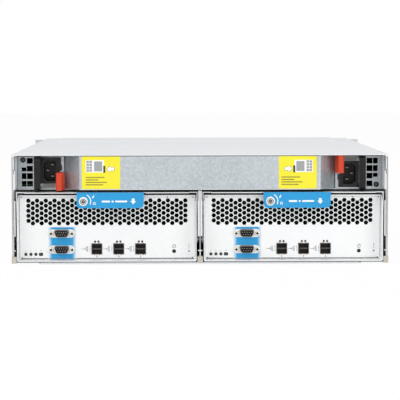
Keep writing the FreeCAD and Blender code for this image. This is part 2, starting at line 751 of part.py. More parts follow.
def handle_screw(x):
    """Captive quarter-turn screw that holds the handle shut."""
    under = rear_y - screw_ring_height - 0.3
    head = turned(screw_head, screw_x, screw_z, under - screw_head_height, under)
    slot = block(screw_x, under - screw_head_height, screw_z, 5.4, 2.0, 1.0)
    shank = rod(screw_shank, face_y + 0.8 - under, V(screw_x, under, screw_z), V(0, 1, 0))
    screw = fused(head.cut([slot, slot.rotated(V(screw_x, 0, screw_z), V(0, 1, 0), 90)]), shank)
    screw.translate(V(x, 0, 0))
    return screw


def mute_button(x):
    """Round push button with a collar behind the face."""
    inner = face_y + sheet + gap
    cap = turned(button_radius, button_x, button_z, face_y - 0.3, face_y + button_length)
    collar = turned(button_radius + button_collar, button_x, button_z, inner, inner + 1.2)
    button = fused(cap, collar)
    button.translate(V(x, 0, 0))
    return button


# ---------------------------------------------------------------- power supply
def psu_case():
    """Sheet case with square vents, its circuit block, fan frame and pull loop."""
    w, h, t = psu_width / 2, psu_height / 2, psu_wall
    y0, y1 = psu_face_y, psu_end
    case = box(-w, w, y0, y1, -h, h).cut(box(-w + t, w - t, y0 + t, y1 - t, -h + t, h - t))
    cuts = []
    for column, (vx, vw) in enumerate(vent_columns):
        for row, (vz, vh) in enumerate(vent_rows):
            if column == 0 and row == 0:
                continue                            # the status lamp sits here
            cuts.append(block(vx, y0, vz, vw, 6, vh))
    cuts.append(block(inlet_x, y0, inlet_z, inlet_cavity[0] + 2 * inlet_wall + 0.2, 6,
                      inlet_cavity[1] + 2 * inlet_wall + 0.2))
    cuts.append(prism(opening(fan_bore, 0, fan_z, 16), "xz", y1 - 3, y1 + 3))
    case = case.cut(cuts)
    frame_y = y1 - t - fan_depth
    frame = prism(rectangle(0, fan_z, fan_size, fan_size), "xz", frame_y, y1 - t,
                  [opening(fan_bore, 0, fan_z, 16)])
    reach = 2 * fan_bore + 1.0
    spokes = [block(0, frame_y + 1, fan_z, reach, 2, 2.4),
              block(0, frame_y + 1, fan_z, 2.4, 2, reach)]
    motor = turned(fan_hub, 0, fan_z, frame_y, frame_y + 2)
    bush = turned(fan_shaft + 1.6, 0, fan_z, frame_y + 2, frame_y + 7, 12)
    frame = fused(frame, *spokes, motor, bush)
    frame = frame.cut(rod(fan_shaft + pin_play, 9, V(0, frame_y - 1, fan_z), V(0, 1, 0)))
    low = -h + t + psu_board[1]
    board = box(-w + t + 1, w - t - 1, y0 + psu_board[0], frame_y - 6, -h + t, low)
    blocks = [box(bx - bw / 2, bx + bw / 2, y0 + by, y0 + by + bl, low, low + bh)
              for bx, by, bw, bl, bh in psu_blocks]
    path = [(y0, loop_top), (y0 - psu_recess, loop_top), (y0 - psu_recess, loop_bottom),
            (y0, loop_bottom)]
    loop = folded(path, loop_thickness, loop_bend, "yz", loop_x - loop_width / 2,
                  loop_x + loop_width / 2)
    pivot_x, pivot_out = latch_x + latch_width - latch_pivot_inset, y0 - latch_pivot_out
    ear_z = latch_top + gap
    ear = box(pivot_x - 2 * latch_pin, pivot_x + 2 * latch_pin, pivot_out - 2 * latch_pin, y0,
              ear_z, ear_z + latch_ear)
    pin = rod(latch_pin, ear_z - latch_bottom - 3, V(pivot_x, pivot_out, latch_bottom + 3),
              V(0, 0, 1))
    return [fused(case, ear, pin), frame, fused(board, *blocks), loop]


def psu_inlet():
    """Mains inlet: flange, hollow body with two bevelled corners on its earth side."""
    def outline(grow, bevel):
        w, h = inlet_cavity[0] / 2 + grow, inlet_cavity[1] / 2 + grow
        return [(inlet_x - w + bevel, inlet_z - h), (inlet_x + w, inlet_z - h),
                (inlet_x + w, inlet_z + h), (inlet_x - w + bevel, inlet_z + h),
                (inlet_x - w, inlet_z + h - bevel), (inlet_x - w, inlet_z - h + bevel)]
    front = psu_face_y - inlet_flange_thickness
    flange = block(inlet_x, psu_face_y - inlet_flange_thickness / 2, inlet_z, inlet_flange[0],
                   inlet_flange_thickness, inlet_flange[1])
    body = prism(outline(inlet_wall, inlet_chamfer), "xz", psu_face_y,
                 front + inlet_depth + 2.0)
    cavity = prism(outline(0, inlet_chamfer), "xz", front - 1, front + inlet_depth)
    return [fused(flange, body).cut(cavity)]


def psu_latch():
    """Finger latch beside the inlet, with its catch tongue."""
    out = psu_face_y - latch_pivot_out
    x0, x1 = latch_x, latch_x + latch_width
    y0, y1 = psu_face_y - latch_stand_out, out + 1.1
    outline = [(x0 + 1.0, y0), (x1 - 1.0, y0), (x1, y0 + 1.0), (x1, y0 + 9),
               (x1 + latch_tongue, y0 + 13), (x1 + latch_tongue, y1), (x0 + 3.2, y1),
               (x0, y1 - 3.2), (x0, y0 + 1.0)]
    hole = rod(latch_pin + pin_play, latch_top - latch_bottom + 2,
               V(x1 - latch_pivot_inset, out, latch_bottom - 1), V(0, 0, 1))
    return [prism(outline, "xy", latch_bottom, latch_top).cut(hole)]


def fan_rotor():
    """Hub with pitched blades on its shaft."""
    y1 = psu_end
    start = y1 - psu_wall - fan_depth + 7.6
    depth = 9.0
    hub = turned(fan_hub, 0, 0, start, start + depth)
    shaft = rod(fan_shaft, 6.6, V(0, start - 6.6, 0), V(0, 1, 0))
    tip = fan_bore - fan_tip_gap
    chord = depth - 1.5
    reach = math.sqrt(tip ** 2 - (chord / 2) ** 2)
    blade = Part.makeBox(fan_blade, chord, reach - fan_hub + 1.5,
                         V(-fan_blade / 2, start + 0.75, fan_hub - 1.5))
    blade.rotate(V(0, start + depth / 2, 0), V(0, 0, 1), fan_pitch)
    blades = [blade.rotated(V(0, 0, 0), V(0, 1, 0), 360 * k / fan_blades)
              for k in range(fan_blades)]
    rotor = fused(hub, *blades, shaft)
    rotor.translate(V(0, 0, fan_z))
    return [rotor]


def place_psu(pieces, right):
    """The right supply is the left one turned half a turn about its length."""
    placed = []
    for piece in pieces:
        piece = piece.copy()
        if right:
            piece = piece.rotated(V(0, 0, 0), V(0, 1, 0), 180)
        piece.translate(V(psu_x if right else -psu_x, 0, psu_z))
        placed.append(piece)
    return placed


# ---------------------------------------------------------------- output
ear = rack_ear()
save("chassis_tub", chassis_tub())
save("top_cover", top_cover())
save("rack_ears", ear, mirrored_x(ear))
save("drive_cage", *drive_cage())
save("midplane_board", *midplane_board())
save("bay_frame", bay_frame())
save("corner_blocks", *corner_blocks())
save("centre_panel", centre_panel())

for side, x in (("left", -canister_x), ("right", canister_x)):
    save(f"{side}_controller_tray", *controller_tray(x))
    save(f"{side}_controller_board", *controller_board(x))
    save(f"{side}_port_sockets", *port_sockets(x))
    save(f"{side}_pull_handle", pull_handle(x))
    save(f"{side}_handle_screw", handle_screw(x))
    save(f"{side}_mute_button", mute_button(x))

for side, right in (("left", False), ("right", True)):
    save(f"{side}_psu_case", *place_psu(psu_case(), right))
    save(f"{side}_psu_inlet", *place_psu(psu_inlet(), right))
    save(f"{side}_psu_latch", *place_psu(psu_latch(), right))
    save(f"{side}_psu_fan_rotor", *place_psu(fan_rotor(), right))

for column in range(bay_columns):
    for row in range(bay_rows):
        bay = f"{chr(ord('a') + column)}{row + 1}"
        save(f"disk_carrier_{bay}", *disk_carrier(column, row))
        save(f"carrier_lever_{bay}", carrier_lever(column, row))

print("facets in all:", save.total)
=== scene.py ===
import math

import bmesh
import bpy
from mathutils import Matrix, Vector


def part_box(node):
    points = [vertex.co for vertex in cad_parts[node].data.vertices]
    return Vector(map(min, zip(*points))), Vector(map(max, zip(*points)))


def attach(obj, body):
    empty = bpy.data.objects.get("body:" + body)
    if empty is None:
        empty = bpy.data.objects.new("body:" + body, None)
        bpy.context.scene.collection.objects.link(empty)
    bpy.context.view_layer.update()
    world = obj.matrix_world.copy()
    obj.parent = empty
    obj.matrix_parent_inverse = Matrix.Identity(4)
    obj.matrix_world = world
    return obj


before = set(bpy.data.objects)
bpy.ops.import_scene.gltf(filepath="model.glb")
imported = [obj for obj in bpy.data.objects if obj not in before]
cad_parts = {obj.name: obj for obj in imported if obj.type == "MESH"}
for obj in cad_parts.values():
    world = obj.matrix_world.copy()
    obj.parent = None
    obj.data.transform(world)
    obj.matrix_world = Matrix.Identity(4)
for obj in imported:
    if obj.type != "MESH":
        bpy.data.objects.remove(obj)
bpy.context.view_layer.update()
MM = 0.001


# ------------------------------------------------------------------ materials
def srgb(r, g, b):
    """A colour given as 0-255 screen values, as linear values."""
    out = []
    for v in (r, g, b):
        v /= 255
        out.append(v / 12.92 if v <= 0.04045 else ((v + 0.055) / 1.055) ** 2.4)
    return (*out, 1.0)


class Nodes:
    """Short names for the shader nodes that the materials share."""

    def __init__(self, name):
        self.mat = bpy.data.materials.new(name)
        self.mat.use_nodes = True
        self.tree = self.mat.node_tree
        self.bsdf = self.tree.nodes["Principled BSDF"]
        self.coord = self.new("ShaderNodeTexCoord").outputs["Object"]

    def new(self, kind, **values):
        node = self.tree.nodes.new(kind)
        for key, value in values.items():
            setattr(node, key, value)
        return node

    def link(self, a, b):
        self.tree.links.new(a, b)

    def stretched(self, sx, sy, sz):
        node = self.new("ShaderNodeMapping")
        node.inputs["Scale"].default_value = (sx, sy, sz)
        self.link(self.coord, node.inputs["Vector"])
        return node.outputs["Vector"]

    def noise(self, scale, detail=2.0, vector=None, rough=0.5):
        node = self.new("ShaderNodeTexNoise")
        node.inputs["Scale"].default_value = scale
        node.inputs["Detail"].default_value = detail
        node.inputs["Roughness"].default_value = rough
        self.link(vector or self.coord, node.inputs["Vector"])
        return node.outputs["Fac"]

    def cells(self, scale, vector=None, what="Color"):
        node = self.new("ShaderNodeTexVoronoi")
        node.inputs["Scale"].default_value = scale
        self.link(vector or self.coord, node.inputs["Vector"])
        return node.outputs[what]

    def ramp(self, fac, *stops):
        node = self.new("ShaderNodeValToRGB")
        elements = node.color_ramp.elements
        while len(elements) < len(stops):
            elements.new(0.5)
        for element, (place, colour) in zip(elements, stops):
            element.position = place
            element.color = colour if len(colour) == 4 else (*colour, 1.0)
        self.link(fac, node.inputs["Fac"])
        return node.outputs["Color"]

    def span(self, fac, low, high, from_low=0.0, from_high=1.0):
        node = self.new("ShaderNodeMapRange")
        for key, value in (("From Min", from_low), ("From Max", from_high),
                           ("To Min", low), ("To Max", high)):
            node.inputs[key].default_value = value
        self.link(fac, node.inputs["Value"])
        return node.outputs["Result"]

    def mix(self, fac, a, b):
        node = self.new("ShaderNodeMix", data_type="RGBA")
        for socket, value in ((node.inputs[0], fac), (node.inputs[6], a), (node.inputs[7], b)):
            if isinstance(value, bpy.types.NodeSocket):
                self.link(value, socket)
            else:
                socket.default_value = value
        return node.outputs[2]

    def bump(self, height, strength, distance):
        node = self.new("ShaderNodeBump")
        node.inputs["Strength"].default_value = strength
        node.inputs["Distance"].default_value = distance
        self.link(height, node.inputs["Height"])
        self.link(node.outputs["Normal"], self.bsdf.inputs["Normal"])

    def set(self, **values):
        for key, value in values.items():
            socket = self.bsdf.inputs[key.replace("_", " ")]
            if isinstance(value, bpy.types.NodeSocket):
                self.link(value, socket)
            else:
                socket.default_value = value
        return self.mat


def tint(colour, k):
    return (*[min(1.0, c * k) for c in colour[:3]], 1.0)


def sheet_metal(name, colour, metallic=0.7, rough=0.36, grain=(1, 1, 1), blotch=0.05,
                speckle=0.03):
    """Plated sheet: soft blotches, fine speckle, a slight lay of the grain and a few rubs."""
    n = Nodes(name)
    wide = n.noise(9, 3)
    base = n.mix(wide, tint(colour, 1 - blotch), tint(colour, 1 + blotch))
    fine = n.noise(1400, 2, n.stretched(*grain))
    base = n.mix(n.ramp(fine, (0.42, (0, 0, 0)), (0.62, (1, 1, 1))),
                 base, n.mix(0.5, base, tint(colour, 1 + 2.2 * speckle)))
    rubs = n.ramp(n.noise(55, 5, n.stretched(1, 0.2, 1), 0.7), (0.66, (0, 0, 0)),
                  (0.74, (1, 1, 1)))
    base = n.mix(n.span(rubs, 0, 0.35), base, tint(colour, 1.12))
    n.bump(fine, 0.12, 0.00008)
    return n.set(Base_Color=base, Metallic=metallic,
                 Roughness=n.span(n.noise(60, 4), rough - 0.07, rough + 0.09))


def spangled(name, low, high, metallic=0.55, rough=0.42, size=420):
    """Galvanised sheet: small zinc crystals over a soft cloudiness."""
    n = Nodes(name)
    cloud = n.noise(16, 3)
    base = n.mix(cloud, low, high)
    cell = n.cells(size)
    grey = n.new("ShaderNodeRGBToBW")
    n.link(cell, grey.inputs[0])
    base = n.mix(n.span(grey.outputs[0], 0, 0.5, 0.15, 0.9), base, tint(high, 1.22))
    specks = n.ramp(n.noise(900, 3), (0.56, (0, 0, 0)), (0.7, (1, 1, 1)))
    base = n.mix(n.span(specks, 0, 0.28), base, tint(low, 0.62))
    n.bump(grey.outputs[0], 0.1, 0.00006)
    return n.set(Base_Color=base, Metallic=metallic,
                 Roughness=n.span(grey.outputs[0], rough - 0.08, rough + 0.1))


def moulded(name, colour, rough=0.42, grain=900, wear=0.12, spec=0.5):
    """Moulded plastic or paint: pebble grain, dull patches and lighter handled spots."""
    n = Nodes(name)
    patch = n.noise(35, 4)
    base = n.mix(patch, tint(colour, 0.93), tint(colour, 1.06))
    handled = n.ramp(n.noise(120, 5, rough=0.7), (0.62, (0, 0, 0)), (0.78, (1, 1, 1)))
    lighter = (*[min(1.0, c + 0.05 + c * 0.25) for c in colour[:3]], 1.0)
    base = n.mix(n.span(handled, 0, wear), base, lighter)
    n.bump(n.noise(grain, 3), 0.18, 0.0001)
    return n.set(Base_Color=base, Roughness=n.span(patch, rough - 0.08, rough + 0.1),
                 Specular_IOR_Level=spec)


def circuit_board():
    """Green solder mask with faint tracks and bright pads."""
    n = Nodes("board_green_mask")
    green = srgb(30, 92, 52)
    tracks = n.cells(260, n.stretched(1, 0.12, 1), "Distance")
    base = n.mix(n.ramp(tracks, (0.05, (1, 1, 1)), (0.12, (0, 0, 0))), green, tint(green, 1.7))
    pads = n.cells(420, what="Distance")
    base = n.mix(n.ramp(pads, (0.08, (1, 1, 1)), (0.12, (0, 0, 0))), base, srgb(196, 186, 140))
    n.bump(tracks, 0.15, 0.00005)
    return n.set(Base_Color=base, Roughness=n.span(n.noise(80), 0.28, 0.42))


def faded_blue(x0, x1, edge):
    """Printed blue field that thins out into the metal towards both sides."""
    n = Nodes("port_field_blue_%d" % round(x0 * 1000))
    split = n.new("ShaderNodeSeparateXYZ")
    n.link(n.coord, split.inputs[0])
    x = split.outputs[0]
    left = n.span(x, 0, 1, x0, x0 + edge)
    right = n.span(x, 1, 0, x1 - edge, x1)
    both = n.new("ShaderNodeMath", operation="MULTIPLY")
    n.link(left, both.inputs[0])
    n.link(right, both.inputs[1])
    ragged = n.new("ShaderNodeMath", operation="ADD")
    n.link(both.outputs[0], ragged.inputs[0])
    n.link(n.span(n.noise(700, 2, n.stretched(0.1, 1, 1)), -0.12, 0.12), ragged.inputs[1])
    fac = n.span(ragged.outputs[0], 0, 1, 0.05, 0.95)
    blue = n.mix(n.noise(40, 3), BLUE, tint(BLUE, 1.08))
    n.bump(n.noise(900, 2), 0.08, 0.00005)
    return n.set(Base_Color=n.mix(fac, FACE, blue), Metallic=n.span(fac, 0.6, 0.0),
                 Roughness=n.span(n.noise(90, 3), 0.3, 0.42))


def lens(name, colour):
    """Small moulded lamp lens."""
    n = Nodes(name)
    base = n.mix(n.noise(1500, 2), tint(colour, 0.8), tint(colour, 1.15))
    n.bump(n.noise(2500, 1), 0.1, 0.00003)
    return n.set(Base_Color=base, Roughness=n.span(n.noise(500), 0.12, 0.22), Coat_Weight=0.4)


FACE = srgb(240, 241, 241)
BLUE = srgb(26, 153, 212)
M = {
    "cover": sheet_metal("cover_zinc", srgb(200, 202, 204), 0.3, 0.55, (1, 0.15, 1), 0.03, 0.02),
    "lid": sheet_metal("lid_zinc", srgb(214, 216, 218), 0.1, 0.62, (1, 0.15, 1), 0.03, 0.02),
    "face": sheet_metal("face_nickel", FACE, 0.45, 0.36, (1, 1, 0.5), 0.025, 0.035),
    # lighter steel for the handle and the rear edges; on the chassis and lid edges it paints a
    # highlight
    "edge": sheet_metal("bright_edge_metal_and_painted_highlight", srgb(230, 231, 232), 0.5, 0.32, (1, 1, 1), 0.05, 0.04),
    "zinc": spangled("galvanised", srgb(163, 171, 176), srgb(192, 199, 203)),
    "zinc_dark": spangled("galvanised_dull", srgb(152, 158, 162), srgb(188, 193, 197)),
    "shell": sheet_metal("shell_nickel", srgb(112, 102, 94), 0.85, 0.3, (1, 1, 1), 0.06, 0.03),
    "print_mid": moulded("print_mid", srgb(120, 122, 122), 0.55, 700, 0.05),
    "olive": moulded("print_olive", srgb(150, 140, 52), 0.55, 700, 0.05),
    "port": sheet_metal("port_plating", srgb(222, 218, 208), 0.85, 0.24, (1, 1, 1), 0.06, 0.03),
    "screw": sheet_metal("screw_plating", srgb(214, 212, 206), 0.9, 0.25, (1, 1, 1), 0.06, 0.03),
    "blue": moulded("handle_blue_coat", BLUE, 0.34, 1200, 0.06),
    "orange": moulded("latch_orange_plastic", srgb(202, 60, 24), 0.4, 900, 0.1),
    "black": moulded("black_plastic", srgb(30, 30, 31), 0.38, 1000, 0.12, 0.35),
    "loop": moulded("loop_plastic", srgb(22, 21, 22), 0.13, 1400, 0.06, 0.3),
    # deep black for inserts and liners; as flat crosses, stars, discs, plates and strips it paints
    # the shade of recesses, holes, slots and gaps
    "black_deep": moulded("deep_black_and_painted_shade", srgb(18, 18, 18), 0.5, 1200, 0.08, 0.25),
    "cream": moulded("cream_plastic", srgb(192, 186, 174), 0.5, 900, 0.1),
    "carrier": moulded("carrier_plastic", srgb(62, 65, 70), 0.45, 900, 0.1),
    "lever": moulded("lever_plastic", srgb(88, 91, 96), 0.4, 900, 0.1),
    "disk": sheet_metal("disk_casting", srgb(150, 152, 155), 0.85, 0.42, (1, 1, 1), 0.1, 0.06),
    "heat": sheet_metal("heat_sink", srgb(168, 171, 176), 0.9, 0.35, (0.1, 1, 1), 0.05, 0.05),
    "board": circuit_board(),
    "gold": sheet_metal("contact_gold", srgb(214, 178, 98), 0.95, 0.22, (1, 1, 1), 0.04, 0.02),
    # darker copy of the pin plating; its darkness paints the shade in the mains inlet's recess
    "pin_painted_shade": sheet_metal("pin_plating_painted_shade", srgb(128, 127, 124), 0.9, 0.4, (1, 1, 1), 0.06, 0.03),
    "pin": sheet_metal("pin_plating", srgb(232, 230, 224), 0.9, 0.2, (1, 1, 1), 0.04, 0.02),
    "yellow": moulded("label_yellow", srgb(242, 230, 46), 0.4, 700, 0.04),
    "white": moulded("print_white", srgb(246, 247, 247), 0.4, 700, 0.04),
    # ink for print; as a disc it also paints the shade of the pinhole
    "ink": moulded("ink_print_and_painted_shade", srgb(52, 52, 50), 0.55, 700, 0.05),
    "grey_plate": moulded("plate_grey", srgb(150, 150, 148), 0.5, 800, 0.06),
    "tongue": moulded("tongue_plastic", srgb(70, 67, 64), 0.45, 900, 0.1),
    # brownish grey that paints the shadow in gaps and under edges, and marks the spot welds
    "weld_and_painted_shade": moulded("painted_shade_and_weld_marks", srgb(92, 88, 84), 0.7, 700, 0.05),
    # grey for print; on the canister faces it paints the shade above the bottom gap and under the
    # top fold
    "grey_print_and_painted_shade": moulded("grey_marks_and_painted_shade", srgb(158, 160, 160), 0.55, 700, 0.05),
    "dark_lens": lens("lamp_dark", srgb(48, 50, 50)),
    "amber_lens": lens("lamp_amber", srgb(150, 110, 40)),
    "green_lens": lens("lamp_green", srgb(66, 120, 74)),
}


def dress(node, default, *rules):
    """Gives a CAD node its materials; each rule is a material and a test of a face's middle."""
    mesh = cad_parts[node].data
    mesh.materials.clear()
    for key in (default, *[k for k, _ in rules]):
        mesh.materials.append(M[key])
    for face in mesh.polygons:
        face.material_index = 0
        for i, (_, test) in enumerate(rules):
            if test(face.center / MM, face.normal):
                face.material_index = i + 1
                break


# ------------------------------------------------------------------ mesh building
def ring_points(x, y, radius, sides=16):
    return [(x + radius * math.cos(2 * math.pi * k / sides),
             y + radius * math.sin(2 * math.pi * k / sides)) for k in range(sides)]


class Piece:
    """Collects prisms, turned forms and rings into one mesh; sizes in millimetres."""

    def __init__(self):
        self.verts, self.faces, self.mats, self.smooth = [], [], [], []

    def add(self, verts, faces, mat, smooth=False):
        k = len(self.verts)
        self.verts += [(x * MM, y * MM, z * MM) for x, y, z in verts]
        for f in faces:
            self.faces.append([i + k for i in f])
            self.mats.append(mat)
            self.smooth.append(smooth)

    def prism(self, points, y0, y1, mat=0, plane="xz"):
        """An outline in a plane, pushed from y0 to y1 along the axis across it."""
        put = {"xz": lambda u, v, w: (u, w, v), "xy": lambda u, v, w: (u, v, w),
               "yz": lambda u, v, w: (w, u, v)}[plane]
        n = len(points)
        verts = [put(u, v, y0) for u, v in points] + [put(u, v, y1) for u, v in points]
        sides = [(i, (i + 1) % n, n + (i + 1) % n, n + i) for i in range(n)]
        self.add(verts, [tuple(range(n))[::-1], tuple(range(n, 2 * n))] + sides, mat)

    def block(self, x0, x1, y0, y1, z0, z1, mat=0):
        self.prism([(x0, z0), (x1, z0), (x1, z1), (x0, z1)], y0, y1, mat)

    def turned(self, x, z, profile, mat=0, sides=28):
        """Profile of (radius, y) about an axis along Y."""
        verts, faces = [], []
        for r, y in profile:
            for k in range(sides):
                a = 2 * math.pi * k / sides
                verts.append((x + r * math.cos(a), y, z + r * math.sin(a)))
        for j in range(len(profile) - 1):
            for k in range(sides):
                a, b = j * sides + k, j * sides + (k + 1) % sides
                faces.append((a, b, b + sides, a + sides))
        self.add(verts, faces, mat, True)
        last = (len(profile) - 1) * sides
        self.add(verts[:sides], [tuple(range(sides))], mat)
        self.add(verts[last:], [tuple(range(sides))[::-1]], mat)

    def countersunk(self, place, out):
        """Flush screw head facing out, with a flat black cross that paints the shade of its cross
        recess.
        """
        radius = 2.7
        out = Vector(out)
        side = out.orthogonal().normalized()
        turn = Matrix((side, out.cross(side), out)).transposed()
        place = Vector(place)

        def put(points):
            return [tuple(place + turn @ Vector(q)) for q in points]
        sides = 20
        rings = ((radius, 0.0), (radius, 0.05), (radius - 0.25, 0.16), (radius - 0.9, 0.2))
        verts, faces = [], []
        for r, h in rings:
            verts += [(u, v, h) for u, v in ring_points(0, 0, r, sides)]
        for j in range(len(rings) - 1):
            faces += [(j * sides + k, j * sides + (k + 1) % sides,
                       (j + 1) * sides + (k + 1) % sides, (j + 1) * sides + k)
                      for k in range(sides)]
        faces.append(tuple(range((len(rings) - 1) * sides, len(rings) * sides)))
        self.add(put(verts), faces, 0, True)
        # the cross recess is a flat black cross on the head, which paints the shade of the recess
        a, b, h = radius * 0.5, radius * 0.14, 0.21
        cross = [(b, b), (b, a), (-b, a), (-b, b), (-a, b), (-a, -b), (-b, -b), (-b, -a), (b, -a),
                 (b, -b), (a, -b), (a, b)]
        self.add(put([(u, v, h) for u, v in cross]), [tuple(range(12))], 1)

    def ring(self, x, z, y, outer, inner, height, a0=0.0, a1=360.0, mat=0, steps=28):
        """Flat ring or arc standing on plane y towards -Y."""
        full = abs(a1 - a0) >= 360
        count = steps if full else steps + 1
        verts = []
        for k in range(count):
            a = math.radians(a0 + (a1 - a0) * k / steps)
            c, s = math.cos(a), math.sin(a)
            verts += [(x + outer * c, y, z + outer * s), (x + outer * c, y - height, z + outer * s),
                      (x + inner * c, y - height, z + inner * s), (x + inner * c, y, z + inner * s)]
        faces = []
        for k in range(steps):
            a, b = 4 * k, 4 * ((k + 1) % count)
            faces += [(a + i, b + i, b + (i + 1) % 4, a + (i + 1) % 4) for i in range(4)]
        if not full:
            e = 4 * steps
            faces += [(3, 2, 1, 0), (e, e + 1, e + 2, e + 3)]
        self.add(verts, faces, mat)

    def build(self, name, body, slot, *mats, bevel=0.0, segments=2):
        """Makes the mesh an object that rides a body; mats are numbered as in add."""
        mesh = bpy.data.meshes.new(name)
        mesh.from_pydata(self.verts, [], self.faces)
        for key in mats:
            mesh.materials.append(M[key] if isinstance(key, str) else key)
        for face, mat, smooth in zip(mesh.polygons, self.mats, self.smooth):
            face.material_index, face.use_smooth = mat, smooth
        work = bmesh.new()
        work.from_mesh(mesh)
        bmesh.ops.remove_doubles(work, verts=work.verts, dist=1e-7)
        bmesh.ops.recalc_face_normals(work, faces=work.faces)
        work.to_mesh(mesh)
        work.free()
        piece = bpy.data.objects.new(name, mesh)
        bpy.context.scene.collection.objects.link(piece)
        if bevel:
            mod = piece.modifiers.new("edges", "BEVEL")
            mod.width, mod.segments = bevel * MM, segments
            mod.limit_method, mod.angle_limit = "ANGLE", math.radians(40)
        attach(piece, body)


def rounded(x0, x1, z0, z1, r, steps=5):
    """Rectangle with round corners."""
    points = []
    for cx, cz, a in ((x1 - r, z0 + r, -90), (x1 - r, z1 - r, 0), (x0 + r, z1 - r, 90),
                      (x0 + r, z0 + r, 180)):
        points += [(cx + r * math.cos(math.radians(a + 90 * k / steps)),
                    cz + r * math.sin(math.radians(a + 90 * k / steps)))
                   for k in range(steps + 1)]
    return points


def node_box(node):
    lo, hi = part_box(node)
    return lo / MM, hi / MM


# ------------------------------------------------------------------ shelf
tub_lo, tub_hi = node_box("chassis_tub")
rear, wall = tub_lo.y, tub_hi.x
lid_lo = node_box("top_cover")[0]
lid_top = lid_lo.z + 1.2                 # the lid's sheet beside its raised field
panel_lo = node_box("centre_panel")[0]
EAR_SHEET = 1.8                          # the ears' legs stand on the walls
FLANGE_DEPTH = 3.0                       # rear flanges of the bays, behind the rear plane
MIDPLANE = (21.5, 25.2)                  # just outside the faces of the midplane board
SIDES = (("left", -1), ("right", 1))

# the rear-facing faces of the chassis and lid take the lighter edge steel, which paints the
# highlight they catch
dress("chassis_tub", "cover", ("edge", lambda c, n: n.y < -0.9))
dress("top_cover", "lid", ("edge", lambda c, n: n.y < -0.9))
dress("rack_ears", "cover")
dress("drive_cage", "zinc")
dress("midplane_board", "board", ("black_deep", lambda c, n: not MIDPLANE[0] <= c.y <= MIDPLANE[1]))
dress("bay_frame", "zinc", ("edge", lambda c, n: c.y < rear + 4.5))
dress("corner_blocks", "cream")
dress("centre_panel", "zinc")


def shell_screws():
    """Countersunk screws: along the lid's edges (up) and in the sides (outward)."""
    p = Piece()
    for s in (-1, 1):
        for y in (232.0, 118.0, -20.0, -150.0, -246.0):
            p.countersunk((s * (wall - 6.5), y, lid_top), (0, 0, 1))
        for y, z in ((246.0, 22.0), (246.0, 108.0), (214.0, 22.0), (214.0, 108.0)):
            p.countersunk((s * (wall + EAR_SHEET), y, z), (s, 0, 0))
        for y, z in ((60.0, 26.0), (60.0, 104.0), (24.0, 26.0), (24.0, 104.0), (-90.0, 88.0),
                     (-200.0, 88.0), (-200.0, 40.0)):
            p.countersunk((s * wall, y, z), (s, 0, 0))
    p.build("shell_screws", "shelf", "screw_steel", "screw", "black_deep")


def yellow_label(side, s):
    """Plain service label: a yellow sheet with a bay pictogram, an arrow and rule lines."""
    x0, x1 = (-139.5, -94.1) if s < 0 else (93.0, 137.8)
    z0, z1 = panel_lo.z + 1.1, lid_lo.z - 1.0
    y = rear
    p = Piece()
    p.prism(rounded(x0, x1, z0, z1, 1.3), y - 0.12, y, 0)
    bx0, bx1 = (x0 + 4.6, x0 + 26.2) if s < 0 else (x1 - 26.2, x1 - 4.6)
    bz0, bz1 = 109.1, 123.5
    p.prism(rounded(bx0, bx1, bz0, bz1, 0.5), y - 0.17, y - 0.12, 1)
    flip = (lambda u: u) if s < 0 else (lambda u: bx0 + bx1 - u)

    def bar(u0, u1, w0, w1, mat):
        a, b = sorted((flip(u0), flip(u1)))
        p.block(a, b, y - 0.21, y - 0.17, w0, w1, mat)

    for r in range(4):
        for c in range(2):
            bar(bx0 + 0.9 + 3.6 * c, bx0 + 4.0 + 3.6 * c, bz0 + 0.8 + 3.4 * r,
                bz0 + 3.6 + 3.4 * r, 2)
    bar(bx0 + 9.9, bx0 + 19.6, bz0 + 1.2, bz1 - 1.4, 2)
    bar(bx1 - 0.8, bx1 + 1.6, 108.7, 117.0, 3)
    ax0 = (x1 - 15.8) if s < 0 else (x0 + 7.1)
    ax1 = ax0 + 8.7
    zc, h = 113.0, 4.0
    pts = [(ax0, zc), (ax0 + 4.2, zc - h), (ax0 + 4.2, zc - 1.9), (ax1, zc - 1.9),
           (ax1, zc + 1.9), (ax0 + 4.2, zc + 1.9), (ax0 + 4.2, zc + h)]
    if s > 0:
        pts = [(ax0 + ax1 - u, w) for u, w in pts]
    rim = 0.35
    big = [(u + math.copysign(rim, u - (ax0 + ax1) / 2),
            w + (math.copysign(rim, w - zc) if w != zc else 0)) for u, w in pts]
    p.prism(big, y - 0.15, y - 0.12, 3)
    p.prism(pts, y - 0.2, y - 0.12, 1)
    for k, width in enumerate((22.0, 15.0, 25.0, 20.5)):
        w = z0 + 13.0 - 2.9 * k
        u0 = x0 + 4.6 if s < 0 else x0 + 3.0
        p.block(u0, u0 + width, y - 0.15, y - 0.12, w, w + 1.35, 4)
    p.build(f"{side}_service_label", "shelf", "cream_plastic", "yellow", "white", "grey_print_and_painted_shade",
            "ink", "olive", bevel=0.02, segments=1)


